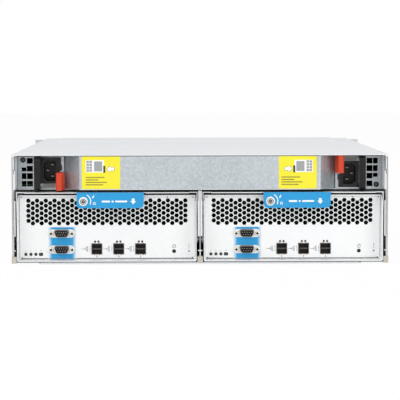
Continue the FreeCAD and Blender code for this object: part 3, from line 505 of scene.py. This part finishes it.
def bay_strips():
    """Strips beside the supplies, black strips on the flanges that paint the shade of their bends,
    a dark strip under the lid's edge that paints the shadow in the gap there, a light strip at the
    panel's foot that paints the highlight of its fold, and the divider's grey joint line.
    """
    p = Piece()
    front, back = rear + FLANGE_DEPTH - 0.07, rear + FLANGE_DEPTH
    for s in (-1, 1):
        a, b = sorted((s * (wall - 2.6), s * (wall - 5.2)))
        p.block(a, b, rear + 22.6, rear + 23.8, panel_lo.z + 0.4, lid_lo.z - 1.6, 0)
        # black strips on the flanges: painted shade of the flanges' bends
        a, b = sorted((s * (wall - 2.45), s * (wall - 3.05)))
        p.block(a, b, front, back, 107.0, 112.5, 2)
        p.block(a, b, front, back, 33.6, 86.6, 2)
    half = 141.5
    # a dark strip under the lid's edge paints the shadow in the gap there; a light strip at the
    # panel's foot paints the highlight of its fold
    p.block(-half, half, rear - 0.03, rear, lid_lo.z - 0.95, lid_lo.z, 1)
    p.block(-half, half, rear - 0.03, rear, panel_lo.z, panel_lo.z + 0.6, 0)
    p.block(-0.5, 0.5, back - 0.05, back, 16.8, 87.0, 3)
    p.build("bay_strips", "shelf", "galvanised_steel", "edge", "weld_and_painted_shade", "black_deep", "grey_print_and_painted_shade")


def floor_hem():
    """Folded-back rear edge of the floor under the canisters."""
    p = Piece()
    half = wall - 34.0
    p.prism([(rear + 0.05, 1.25), (rear + 0.05, 2.2), (rear + 0.2, 2.35), (rear + 7.0, 2.35),
             (rear + 7.0, 1.25)], -half, half, 0, "yz")
    p.build("floor_hem", "shelf", "chassis_steel", "cover")


shell_screws()
bay_strips()
floor_hem()
for side, s in SIDES:
    yellow_label(side, s)


# ------------------------------------------------------------------ controller canisters
CANISTER_FACE = 19.0                     # behind the rear plane
DATA_X, DATA_Z = (-12.75, 13.35, 39.45), 16.5
SERIAL_X, SERIAL_HEIGHTS = -54.6, (35.1, 15.8)
POST_X, PIN_PITCH, PIN_ROW = 12.495, 2.77, 1.42      # nine-pin port, from its middle
SCREW_X, SCREW_DROP = -27.35, 10.6       # handle screw from the canister's middle and top
BOARD_TOP = 9.9


def status_lamps(side, cx, face, bottom):
    """Three round lamps and a wide one in black bezels, with a mark over each."""
    p = Piece()
    z = bottom + 7.0
    for u in (-97.5, -91.5, -85.6):
        p.turned(cx + u, z, [(1.95, face), (1.95, face - 0.16), (1.5, face - 0.22)], 0)
        p.turned(cx + u, z, [(1.4, face - 0.1), (1.3, face - 0.4), (0.95, face - 0.62),
                             (0.4, face - 0.72)], 1)
        p.ring(cx + u, bottom + 11.4, face, 0.7, 0.45, 0.03, mat=2, steps=14)
    p.prism(rounded(cx - 81.9, cx - 77.0, z - 1.9, z + 1.9, 0.9), face - 0.2, face, 0)
    p.prism(rounded(cx - 81.2, cx - 77.7, z - 1.25, z + 1.25, 0.6), face - 0.45, face - 0.1, 1)
    p.block(cx - 80.2, cx - 78.6, face - 0.03, face, bottom + 10.9, bottom + 11.9, 2)
    p.build(f"{side}_status_lamps", f"{side}_canister", "black_plastic", "black_deep",
            "dark_lens", "grey_print_and_painted_shade", bevel=0.05, segments=1)


def port_lamps(side, ports, face, z):
    """Two small round lamps over each data cage."""
    p = Piece()
    for px in ports:
        for d in (-2.0, 2.0):
            p.turned(px + d, z, [(1.3, face), (1.3, face - 0.1), (1.05, face - 0.16)], 0)
            p.turned(px + d, z, [(1.0, face - 0.05), (0.9, face - 0.3), (0.45, face - 0.45)], 1)
    p.build(f"{side}_port_lamps", f"{side}_canister", "black_plastic", "black_deep",
            "dark_lens")


def d_shape(x, z, width, height):
    """Outline of a nine-pin port, wide at the top, with cut corners."""
    w, h, c = width / 2, height / 2, 1.6
    slope = height * math.tan(math.radians(10))
    return [(x - w + slope + c, z - h), (x + w - slope - c, z - h), (x + w - slope, z - h + c),
            (x + w, z + h - c), (x + w - c, z + h), (x - w + c, z + h), (x - w, z + h - c),
            (x - w + slope, z - h + c)]


def serial_inserts(side, cx, face):
    """Bare oval round each port, a black sheet in its slot that paints the shade inside the shell,
    insulator, nine pins and tapped posts, whose holes are black discs that paint their shade.
    """
    p = Piece()
    x = cx + SERIAL_X
    for z in SERIAL_HEIGHTS:
        p.prism(rounded(x - 15.6, x + 15.6, z - 4.9, z + 4.9, 4.8, 9), face - 0.075,
                face - 0.05, 3)
        # black D-shaped sheet that paints the shade inside the shell round the insulator
        p.prism(d_shape(x, z, 17.6, 9.0), face - 0.09, face - 0.075, 0)
        p.prism([(x - 6.4, z - 3.2), (x + 6.4, z - 3.2), (x + 7.5, z + 3.3), (x - 7.5, z + 3.3)],
                face - 2.6, face - 0.5, 0)
        for count, dz in ((5, PIN_ROW), (4, -PIN_ROW)):
            for k in range(count):
                u = x + (k - (count - 1) / 2) * PIN_PITCH
                p.turned(u, z + dz, [(0.5, face - 2.6), (0.5, face - 5.2), (0.3, face - 5.6)],
                         1, 10)
        for s in (-1, 1):
            u = x + s * POST_X
            p.turned(u, z, [(2.35, face - 4.0), (2.2, face - 4.12), (1.5, face - 4.12)], 2, 24)
            # black disc that paints the shade of the post's tapped hole
            p.turned(u, z, [(1.45, face - 4.05), (1.45, face - 4.16), (1.2, face - 4.18)], 0, 20)
    p.build(f"{side}_serial_inserts", f"{side}_canister", "black_plastic", "black_deep", "pin",
            "port", "face")


def data_inserts(side, ports, face):
    """Black liners, contact rows and spring fingers of the three data cages."""
    p = Piece()
    y, z = face - 1.0, DATA_Z
    for px in ports:
        for dz in (3.4, -3.4):
            p.block(px - 5.5, px + 5.5, y + 4.8, y + 5.0, z + dz - 2.2, z + dz + 2.2, 0)
        for dz in (1.25, -1.25):
            for k in range(13):
                u = px - 4.8 + 0.8 * k
                p.block(u - 0.22, u + 0.22, y + 5.3, y + 12.0, z + dz - 0.1, z + dz + 0.1, 1)
        p.block(px - 5.6, px + 5.6, y + 12.2, y + 13.5, z - 5.7, z + 5.7, 0)
        p.block(px - 5.3, px + 5.3, y + 1.2, y + 5.9, z - 0.75, z + 0.75, 3)
        for s in (-1, 1):
            p.block(px + s * 5.62 - 0.12, px + s * 5.62 + 0.12, y + 0.6, y + 13, z - 5.6,
                    z + 5.6, 0)
            p.block(px - 5.5, px + 5.5, y + 0.6, y + 13, z + s * 5.68 - 0.1, z + s * 5.68 + 0.1, 0)
        for u in (-3.0, 3.0):
            for s in (1, -1):
                p.prism([(px + u - 1.0, z + s * 6.5), (px + u + 1.0, z + s * 6.5),
                         (px + u + 0.8, z + s * 7.0), (px + u - 0.8, z + s * 7.0)],
                        y + 0.1, y + 0.5, 2)
    p.build(f"{side}_data_inserts", f"{side}_canister", "black_plastic", "black_deep", "gold",
            "shell", "tongue")


def printed_marks(side, cx, ports, face):
    """Thin generic marks beside the ports, the button and the pinhole, and an ink disc that paints
    the shade of the pinhole itself.
    """
    p = Piece()
    z, top = DATA_Z, face - 0.025

    def line(u0, w0, u1, w1, t=0.42, mat=0):
        dx, dz = u1 - u0, w1 - w0
        length = math.hypot(dx, dz)
        nx, nz = -dz / length * t / 2, dx / length * t / 2
        p.prism([(u0 + nx, w0 + nz), (u0 - nx, w0 - nz), (u1 - nx, w1 - nz), (u1 + nx, w1 + nz)],
                top, face, mat)

    for px in ports:
        u = px - 18.6
        line(u, z, u + 4.0, z)
        line(u + 3.4, z, u + 6.6, z + 2.0)
        line(u + 4.0, z, u + 6.2, z)
        line(u + 3.4, z, u + 6.6, z - 2.0)
        for w in (2.3, 0.0, -2.3):
            p.ring(u + 7.2, z + w, face, 0.95, 0.45, 0.025, steps=12)
        for w in (-2.7, -0.9, 0.9, 2.7):
            p.block(px - 8.6, px - 7.9, top, face, z + w - 0.45, z + w + 0.45, 1)
        line(px, z - 7.6, px, z - 8.8, 0.8)
        line(px - 0.7, z - 9.6, px + 0.7, z - 9.6, 0.9)
    button = cx + 79.5
    p.ring(button, 19.4, face, 2.2, 1.75, 0.025, steps=24, mat=1)
    line(button - 0.9, 18.3, button + 1.5, 21.6, 0.4, 1)
    pinhole = cx + 97.35
    # ink disc that paints the shade of the pinhole
    p.turned(pinhole, 13.6, [(0.95, face), (0.95, face - 0.02)], 1, 14)
    for k, w in enumerate((0.5, 0.85, 0.6, 0.75, 0.85)):
        p.block(pinhole - w / 2, pinhole + w / 2, top, face, 16.2 + 1.35 * k,
                17.1 + 1.35 * k, 0)
    p.build(f"{side}_printed_marks", f"{side}_canister", "black_plastic", "print_mid", "ink")


def arrow(p, x, z, angle, length, width, y):
    """Flat arrow head and shaft with its tip at a place."""
    c, s = math.cos(math.radians(angle)), math.sin(math.radians(angle))
    shape = [(0, 0), (-0.5 * length, 0.5 * width), (-0.5 * length, 0.18 * width),
             (-length, 0.18 * width), (-length, -0.18 * width), (-0.5 * length, -0.18 * width),
             (-0.5 * length, -0.5 * width)]
    p.prism([(x + u * c - w * s, z + u * s + w * c) for u, w in shape], y - 0.04, y)


def tab_print(side, cx, front, top):
    """White turn arc, rule lines and arrow on the blue tab."""
    p = Piece()
    x, z = cx + SCREW_X, top - SCREW_DROP
    y = front
    p.ring(x, z, y, 9.3, 8.2, 0.04, -24, 62, steps=22)
    arrow(p, x + 10.4, z + 3.6, 238, 4.4, 2.6, y)
    p.ring(x + 13.0, z - 2.2, y, 1.5, 0.8, 0.04, steps=18)
    p.block(x + 11.2, x + 14.8, y - 0.04, y, z - 3.9, z - 3.3)
    for u0, u1 in ((-5.6, 4.2), (6.0, 8.4), (10.2, 24.4)):
        p.prism(rounded(cx + u0, cx + u1, z - 1.0, z + 1.0, 0.6), y - 0.04, y)
    u = cx + 31.5
    p.prism([(u - 1.6, z + 3.4), (u - 1.6, z + 0.3), (u - 3.2, z + 0.3), (u, z - 3.4),
             (u + 3.2, z + 0.3), (u + 1.6, z + 0.3), (u + 1.6, z + 3.4)], y - 0.04, y)
    p.build(f"{side}_tab_print", f"{side}_handle", "handle_blue", "white")


def screw_ring(side, cx, front, top):
    """Pale washer face round the screw; on the head a black ring, and a black star that paints the
    shade of the star recess, with its pin.
    """
    p = Piece()
    x, z = cx + SCREW_X, top - SCREW_DROP
    p.ring(x, z, front - 0.8, 5.3, 3.95, 0.12, steps=36)
    p.build(f"{side}_screw_washer", f"{side}_handle", "screw_steel", "white", bevel=0.04,
            segments=1)
    p = Piece()
    y = node_box(f"{side}_handle_screw")[0].y
    # black ring on the head, and a black star that paints the shade of the recess
    p.ring(x, z, y, 3.45, 2.95, 0.03, mat=1, steps=30)
    star = []
    for k in range(12):
        a, r = math.radians(30 * k), (2.3 if k % 2 else 1.65)
        star.append((x + r * math.cos(a), z + r * math.sin(a)))
    p.prism(star, y - 0.03, y + 0.2, 1)
    p.turned(x, z, [(0.55, y), (0.5, y - 0.1), (0.25, y - 0.14)], 0, 12)
    p.build(f"{side}_screw_recess", f"{side}_screw", "screw_steel", "screw", "black_deep")


def face_painted_shade_and_welds(side, lo, hi, face):
    """Dark strips that paint the shadow in the gaps where the face meets the tray's lips, grey
    strips that paint the shade above the bottom gap and under the top fold, and its spot welds at
    the top.
    """
    p = Piece()
    x0, x1, z0, z1 = lo.x + 1.25, hi.x - 1.25, lo.z + 1.25, hi.z
    y0, y1 = face - 0.04, face
    # dark strips that paint the shadow in the gaps at both sides and along the bottom
    p.block(x0, x0 + 0.45, y0, y1, z0 + 1.5, z1 - 1.0, 0)
    p.block(x1 - 0.45, x1, y0, y1, z0 + 1.5, z1 - 1.0, 0)
    p.block(x0 + 1.5, x1 - 1.5, y0, y1, z0, z0 + 0.6, 0)
    # a grey band that paints the shade under the bottom lip, and a grey line that paints the shade
    # under the top fold
    p.block(x0 + 1.5, x1 - 1.5, y0 + 0.02, y1, z0 + 0.6, z0 + 1.3, 1)
    p.block(x0 + 1.0, x1 - 1.0, y0, y1, z1 - 2.6, z1 - 2.35, 1)
    for u, w in ((x0 + 3.2, z0 + 1.6), (x1 - 3.2, z0 + 1.6), (x0 + 2.6, z1 - 2.5),
                 (x1 - 2.6, z1 - 2.5), ((x0 + x1) / 2 + 71.5, z1 - 2.5)):
        p.turned(u, w, [(0.75, face), (0.75, face - 0.05)], 0, 12)
    p.build(f"{side}_face_painted_shade_and_welds", f"{side}_canister", "face_nickel", "weld_and_painted_shade", "grey_print_and_painted_shade")


def port_field(side, cx, face):
    """Blue printed field behind the serial ports."""
    p = Piece()
    x0, x1 = cx - 71.0, cx - 37.0
    p.block(x0, x1, face - 0.05, face, 5.2, 42.6)
    p.build(f"{side}_port_field", f"{side}_canister", "handle_blue",
            faded_blue(x0 * MM, x1 * MM, 0.005))


for side, s in SIDES:
    lo, hi = node_box(f"{side}_controller_tray")
    cx, face, bottom = (lo.x + hi.x) / 2, rear + CANISTER_FACE, lo.z
    handle_top = node_box(f"{side}_pull_handle")[1].z
    ports = [cx + u for u in DATA_X]
    dress(f"{side}_controller_tray", "face", ("edge", lambda c, n: c.y < rear + 1.0))
    dress(f"{side}_controller_board", "board",
          ("heat", lambda c, n, cx=cx: abs(c.x - cx) < 31.5 and c.z > BOARD_TOP + 0.05),
          ("black_deep", lambda c, n: c.z > BOARD_TOP + 0.05 and c.y > -5),
          ("black", lambda c, n: c.z > BOARD_TOP + 0.05))
    dress(f"{side}_port_sockets", "port",
          ("shell", lambda c, n, f=face, x=cx + SERIAL_X: abs(c.x - x) < 8.6 and c.y < f + 1.0),
          ("shell", lambda c, n, f=face, x=cx - 20: c.x > x and c.y < f - 0.97 and n.y < -0.9),
          ("black_deep", lambda c, n, f=face, q=ports: c.y > f - 0.97 and c.z < 22.5
           and any(abs(c.x - u) < 5.8 for u in q) and abs(c.z - DATA_Z) < 5.95))
    dress(f"{side}_pull_handle", "edge",
          ("blue", lambda c, n, cx=cx: cx - 35.4 < c.x < cx + 44.0
           and rear - 0.05 < c.y < rear + 1.25 and not (c.z > 85.25 and n.z > 0.9)),
          ("white", lambda c, n, x=cx + SCREW_X: abs(c.x - x) < 5.6 and c.y < rear - 0.02))
    dress(f"{side}_handle_screw", "screw")
    dress(f"{side}_mute_button", "black")
    face_painted_shade_and_welds(side, lo, hi, face)
    status_lamps(side, cx, face, bottom)
    port_lamps(side, ports, face, 25.3)
    serial_inserts(side, cx, face)
    data_inserts(side, ports, face)
    printed_marks(side, cx, ports, face)
    tab_print(side, cx, rear, handle_top)
    screw_ring(side, cx, rear, handle_top)
    port_field(side, cx, face)


# ------------------------------------------------------------------ power supplies
PSU_X, PSU_Z = 189.6, 107.9              # middle of a supply
PSU_FACE = 22.0                          # behind the rear plane


def psu_details(side, s, cx, face):
    """Mains pins, status lamp, dark strips round the inlet, small plates on the face, a light strip
    along the face's foot that paints a highlight, and a black plate that paints the shade of a
    slot.
    """
    mid = PSU_Z

    def across(u):
        """Place on the face; the right supply is the left one turned upside down."""
        return cx - s * u

    def up(w):
        return mid - s * w

    p = Piece()
    for u, w in ((7.0, 0.0), (12.6, 7.0), (12.6, -7.0)):
        a, b = sorted((across(u + 0.9 - 2.0), across(u + 0.9 + 2.0)))
        c = up(w + 2.1)
        p.block(a, b, face + 6.5, face + 14.8, c - 0.9, c + 0.9, 0)
    # the mains pins take the darker pin plating, which paints the shade of the inlet's recess
    p.build(f"{side}_mains_pins", f"{side}_psu", "port_metal", "pin_painted_shade", bevel=0.35)
    q = Piece()
    lamp = across(-21.1), up(15.0)
    q.turned(*lamp, [(3.3, face), (3.3, face - 0.2), (2.7, face - 0.3)], 0, 30)
    q.turned(*lamp, [(2.0, face - 0.2), (1.9, face - 0.5), (1.2, face - 0.8),
                     (0.4, face - 0.9)], 1, 24)

    def plate(u0, u1, w0, w1, height, mat):
        a, b = sorted((across(u0), across(u1)))
        c, d = sorted((up(w0), up(w1)))
        q.prism(rounded(a, b, c, d, 0.3), face - height, face, mat)

    plate(1.9, 17.4, -18.4, -13.9, 0.12, 2)
    for strip in ((-0.4, 3.2, -13.2, 18.3), (19.6, 24.4, -13.2, 18.3), (2.0, 20.6, 15.2, 18.3)):
        plate(*strip, 0.1, 0)
    # light strip along the bottom edge of the face, which paints the highlight there
    q.block(cx - 27.9, cx + 27.9, face - 0.12, face, mid - 19.1, mid - 18.5, 4)
    plate(-22.7, -17.1, 6.0, 8.0, 0.12, 3)
    # narrow black plate that paints the shade of a slot beside the latch
    plate(24.4, 25.4, 3.0, 9.0, 0.14, 0)
    q.build(f"{side}_psu_trim", f"{side}_psu", "black_plastic", "black", "dark_lens",
            "grey_plate", "zinc_dark", "edge", bevel=0.04, segments=1)


for side, s in SIDES:
    cx, face = s * PSU_X, rear + PSU_FACE
    dress(f"{side}_psu_case", "zinc_dark",
          ("loop", lambda c, n, f=face: c.y < f - 3.6
           or (f - 3.6 < c.y < f + 0.02 and abs(n.y) < 0.9)),
          ("board", lambda c, n, f=face, x=cx: f + 20 < c.y < f + 225 and abs(c.x - x) < 26.2
           and abs(c.z - PSU_Z) < 17.9))
    dress(f"{side}_psu_inlet", "black")
    dress(f"{side}_psu_latch", "orange")
    dress(f"{side}_psu_fan_rotor", "black")
    psu_details(side, s, cx, face)


# ------------------------------------------------------------------ disk side
BEZEL_BACK = 252.9                       # the carriers' moulded fronts start here
DISK_TOP = 1.35 + 26.1                   # above the carrier's underside


def carrier_trim(bay, lo, hi):
    """Two lamps on the bezel and a black plate there that paints the shade of a slot, and the
    disk's cover plate, label and screws.
    """
    p = Piece()
    front, mid = hi.y, (lo.z + hi.z) / 2
    left = lo.x
    for w, lens_mat in ((5.2, 1), (-0.2, 2)):
        rim = [(1.7, front - 0.05), (1.7, front + 0.12), (1.4, front + 0.16)]
        dome = [(1.3, front + 0.05), (1.1, front + 0.35), (0.5, front + 0.5)]
        p.turned(left + 6.6, mid + w, rim, 0)
        p.turned(left + 6.6, mid + w, dome, lens_mat)
    # black plate that paints the shade of a slot in the bezel
    p.prism(rounded(left + 4.2, left + 9.0, mid - 8.6, mid - 6.2, 0.5), front, front + 0.08, 0)
    p.build(f"carrier_lamps_{bay}", f"carrier_{bay}", "carrier_grey", "black_deep", "green_lens",
            "amber_lens", bevel=0.04, segments=1)
    q = Piece()
    top = lo.z + DISK_TOP
    x, y0 = (lo.x + hi.x) / 2, 42.0
    q.prism(rounded(x - 46, x + 46, y0 + 4, y0 + 124, 8), top, top + 0.25, 0, "xy")
    q.prism(rounded(x - 37, x + 37, y0 + 34, y0 + 112, 1.5), top + 0.25, top + 0.35, 1, "xy")
    for u, v in ((-40, 9), (40, 9), (-40, 119), (40, 119), (-42, 64), (42, 64)):
        q.prism(ring_points(x + u, y0 + v, 2.4), top + 0.25, top + 0.5, 2, "xy")
    q.build(f"disk_plate_{bay}", f"carrier_{bay}", "galvanised_steel", "heat", "white",
            "screw")


def lever_trim(bay, lo, hi):
    """Black hinge line that paints the shade of the hinge gap, grip ribs in the finger hollow, and
    the raised catch pad.
    """
    p = Piece()
    front, mid = hi.y, (lo.z + hi.z) / 2
    # black line that paints the shade of the hinge gap
    p.block(lo.x + 4.2, lo.x + 4.7, front, front + 0.03, mid - 9.4, mid + 9.4, 1)
    for k in range(5):
        x = hi.x - 28.0 + 2.5 * k
        p.block(x, x + 0.8, front - 1.75, front - 0.7, mid - 7.8, mid + 7.8, 0)
    p.prism(rounded(hi.x - 12.0, hi.x - 3.0, mid - 6.5, mid + 6.5, 1.6), front, front + 0.3, 0)
    for k in range(3):
        p.block(hi.x - 10.4 + 2.2 * k, hi.x - 9.6 + 2.2 * k, front + 0.3, front + 0.4, mid - 4.6,
                mid + 4.6, 1)
    p.prism(rounded(lo.x + 9, hi.x - 34, mid - 6.8, mid + 6.8, 1.2), front, front + 0.12, 0)
    p.build(f"lever_trim_{bay}", f"lever_{bay}", "carrier_grey", "lever", "black_deep",
            bevel=0.06, segments=1)


for c in "abcd":
    for r in "1234":
        bay = c + r
        lo, hi = node_box(f"disk_carrier_{bay}")
        dress(f"disk_carrier_{bay}", "zinc",
              ("carrier", lambda c, n: c.y > BEZEL_BACK),
              ("disk", lambda c, n, x=(lo.x + hi.x) / 2, z=lo.z: abs(c.x - x) < 50.85
               and c.z > z + 1.05))
        dress(f"carrier_lever_{bay}", "lever")
        carrier_trim(bay, lo, hi)
        lever_trim(bay, *node_box(f"carrier_lever_{bay}"))


# ------------------------------------------------------------------ inside the canisters
def board_parts(side, cx):
    """Chips, capacitors and small connectors on the controller's circuit board."""
    p = Piece()
    top = BOARD_TOP
    chips = ((-70, -200, 20, 20, 1.6), (-70, -160, 14, 14, 1.4), (60, -200, 14, 20, 1.6),
             (78, -170, 10, 14, 1.4), (-78, -60, 24, 24, 2.0), (0, -190, 16, 16, 1.6),
             (30, -60, 14, 14, 1.4), (70, -50, 12, 18, 1.4), (-40, -60, 10, 10, 1.2))
    for u, v, w, d, h in chips:
        p.block(cx + u - w / 2, cx + u + w / 2, v - d / 2, v + d / 2, top, top + h, 0)
    for k in range(7):
        p.prism(ring_points(cx - 88 + 9 * k, -30, 3.0), top, top + 8.0, 1, "xy")
        p.prism(ring_points(cx - 88 + 9 * k, -30, 2.3), top + 8.0, top + 8.15, 2, "xy")
    for k in range(12):
        p.block(cx + 20 + 5 * k, cx + 22.4 + 5 * k, -216, -214.6, top, top + 0.9, 2)
    p.build(f"{side}_board_parts", f"{side}_canister", "board_green", "black", "carrier",
            "port", bevel=0.1, segments=1)


for side, s in SIDES:
    board_parts(side, s * 110.5)


# ------------------------------------------------------------------ camera, lights, floor
def camera():
    """A long lens behind the cable side, a little above and left of its middle."""
    data = bpy.data.cameras.new("camera")
    cam = bpy.data.objects.new("camera", data)
    bpy.context.scene.collection.objects.link(cam)
    yaw, pitch, roll = (math.radians(a) for a in (0.551, 4.247, -0.102))
    ahead = Vector((math.sin(yaw) * math.cos(pitch), math.cos(yaw) * math.cos(pitch),
                    -math.sin(pitch)))
    right = Vector((math.cos(yaw), -math.sin(yaw), 0))
    up = right.cross(ahead)
    tilted_right = math.cos(roll) * right + math.sin(roll) * up
    tilted_up = -math.sin(roll) * right + math.cos(roll) * up
    rot = Matrix((tilted_right, tilted_up, -ahead)).transposed().to_4x4()
    place = Vector((-18.8, rear - 1943.0, 220.5))
    cam.matrix_world = Matrix.Translation(place * MM) @ rot
    data.sensor_width, data.lens = 36.0, 148.455
    data.clip_start, data.clip_end = 0.05, 50
    bpy.context.scene.camera = cam


def area(name, place, aim, size, power):
    """Square lamp at a place in metres, aimed at another."""
    data = bpy.data.lights.new(name, "AREA")
    data.shape, data.size, data.energy = "SQUARE", size, power
    lamp = bpy.data.objects.new(name, data)
    bpy.context.scene.collection.objects.link(lamp)
    lamp.location = place
    lamp.rotation_mode = "QUATERNION"
    lamp.rotation_quaternion = (Vector(aim) - Vector(place)).to_track_quat("-Z", "Y")


def pale(tree):
    """1 for the rays that see the background: camera, glossy and transmission."""
    path = tree.nodes.new("ShaderNodeLightPath")
    value = path.outputs["Is Camera Ray"]
    for name in ("Is Glossy Ray", "Is Transmission Ray"):
        most = tree.nodes.new("ShaderNodeMath")
        most.operation = "MAXIMUM"
        tree.links.new(value, most.inputs[0])
        tree.links.new(path.outputs[name], most.inputs[1])
        value = most.outputs[0]
    return value


def stage():
    """Soft grey light all round, a white background and floor for the eye, and four lamps."""
    world = bpy.data.worlds.new("world")
    bpy.context.scene.world = world
    world.use_nodes = True
    tree = world.node_tree
    ground = tree.nodes["Background"]
    ground.inputs["Color"].default_value = (0.97, 0.98, 1.0, 1)
    ground.inputs["Strength"].default_value = 0.56
    white = tree.nodes.new("ShaderNodeBackground")
    white.inputs["Color"].default_value = (1, 1, 1, 1)
    white.inputs["Strength"].default_value = 1.0
    mix = tree.nodes.new("ShaderNodeMixShader")
    tree.links.new(pale(tree), mix.inputs[0])
    tree.links.new(ground.outputs[0], mix.inputs[1])
    tree.links.new(white.outputs[0], mix.inputs[2])
    tree.links.new(mix.outputs[0], tree.nodes["World Output"].inputs[0])
    mesh = bpy.data.meshes.new("floor")
    mesh.from_pydata([(-8, -8, 0), (8, -8, 0), (8, 8, 0), (-8, 8, 0)], [], [(0, 1, 2, 3)])
    floor = bpy.data.objects.new("floor", mesh)
    floor.location.z = -0.0003
    bpy.context.scene.collection.objects.link(floor)
    n = Nodes("floor_white")
    n.set(Base_Color=n.mix(n.noise(3), (0.86, 0.86, 0.86, 1), (0.9, 0.9, 0.9, 1)), Roughness=0.9)
    glow = n.new("ShaderNodeEmission")
    glow.inputs["Strength"].default_value = 1.0
    mix = n.new("ShaderNodeMixShader")
    share = n.new("ShaderNodeMath", operation="MULTIPLY")
    n.link(pale(n.tree), share.inputs[0])
    share.inputs[1].default_value = 0.96
    n.link(share.outputs[0], mix.inputs[0])
    n.link(n.bsdf.outputs[0], mix.inputs[1])
    n.link(glow.outputs[0], mix.inputs[2])
    n.link(mix.outputs[0], n.tree.nodes["Material Output"].inputs[0])
    mesh.materials.append(n.mat)
    area("key", (-1.6, -2.4, 1.9), (0, 0, 0.06), 1.8, 32)
    area("fill", (2.0, -2.4, 0.7), (0, 0, 0.06), 1.6, 27)
    area("top", (-0.8, -0.3, 2.3), (-0.05, -0.1, 0.1), 0.6, 14)
    area("back", (0.6, 2.6, 1.4), (0, 0.2, 0.08), 1.6, 5)


camera()
stage()
bpy.context.scene.view_settings.view_transform = "Standard"
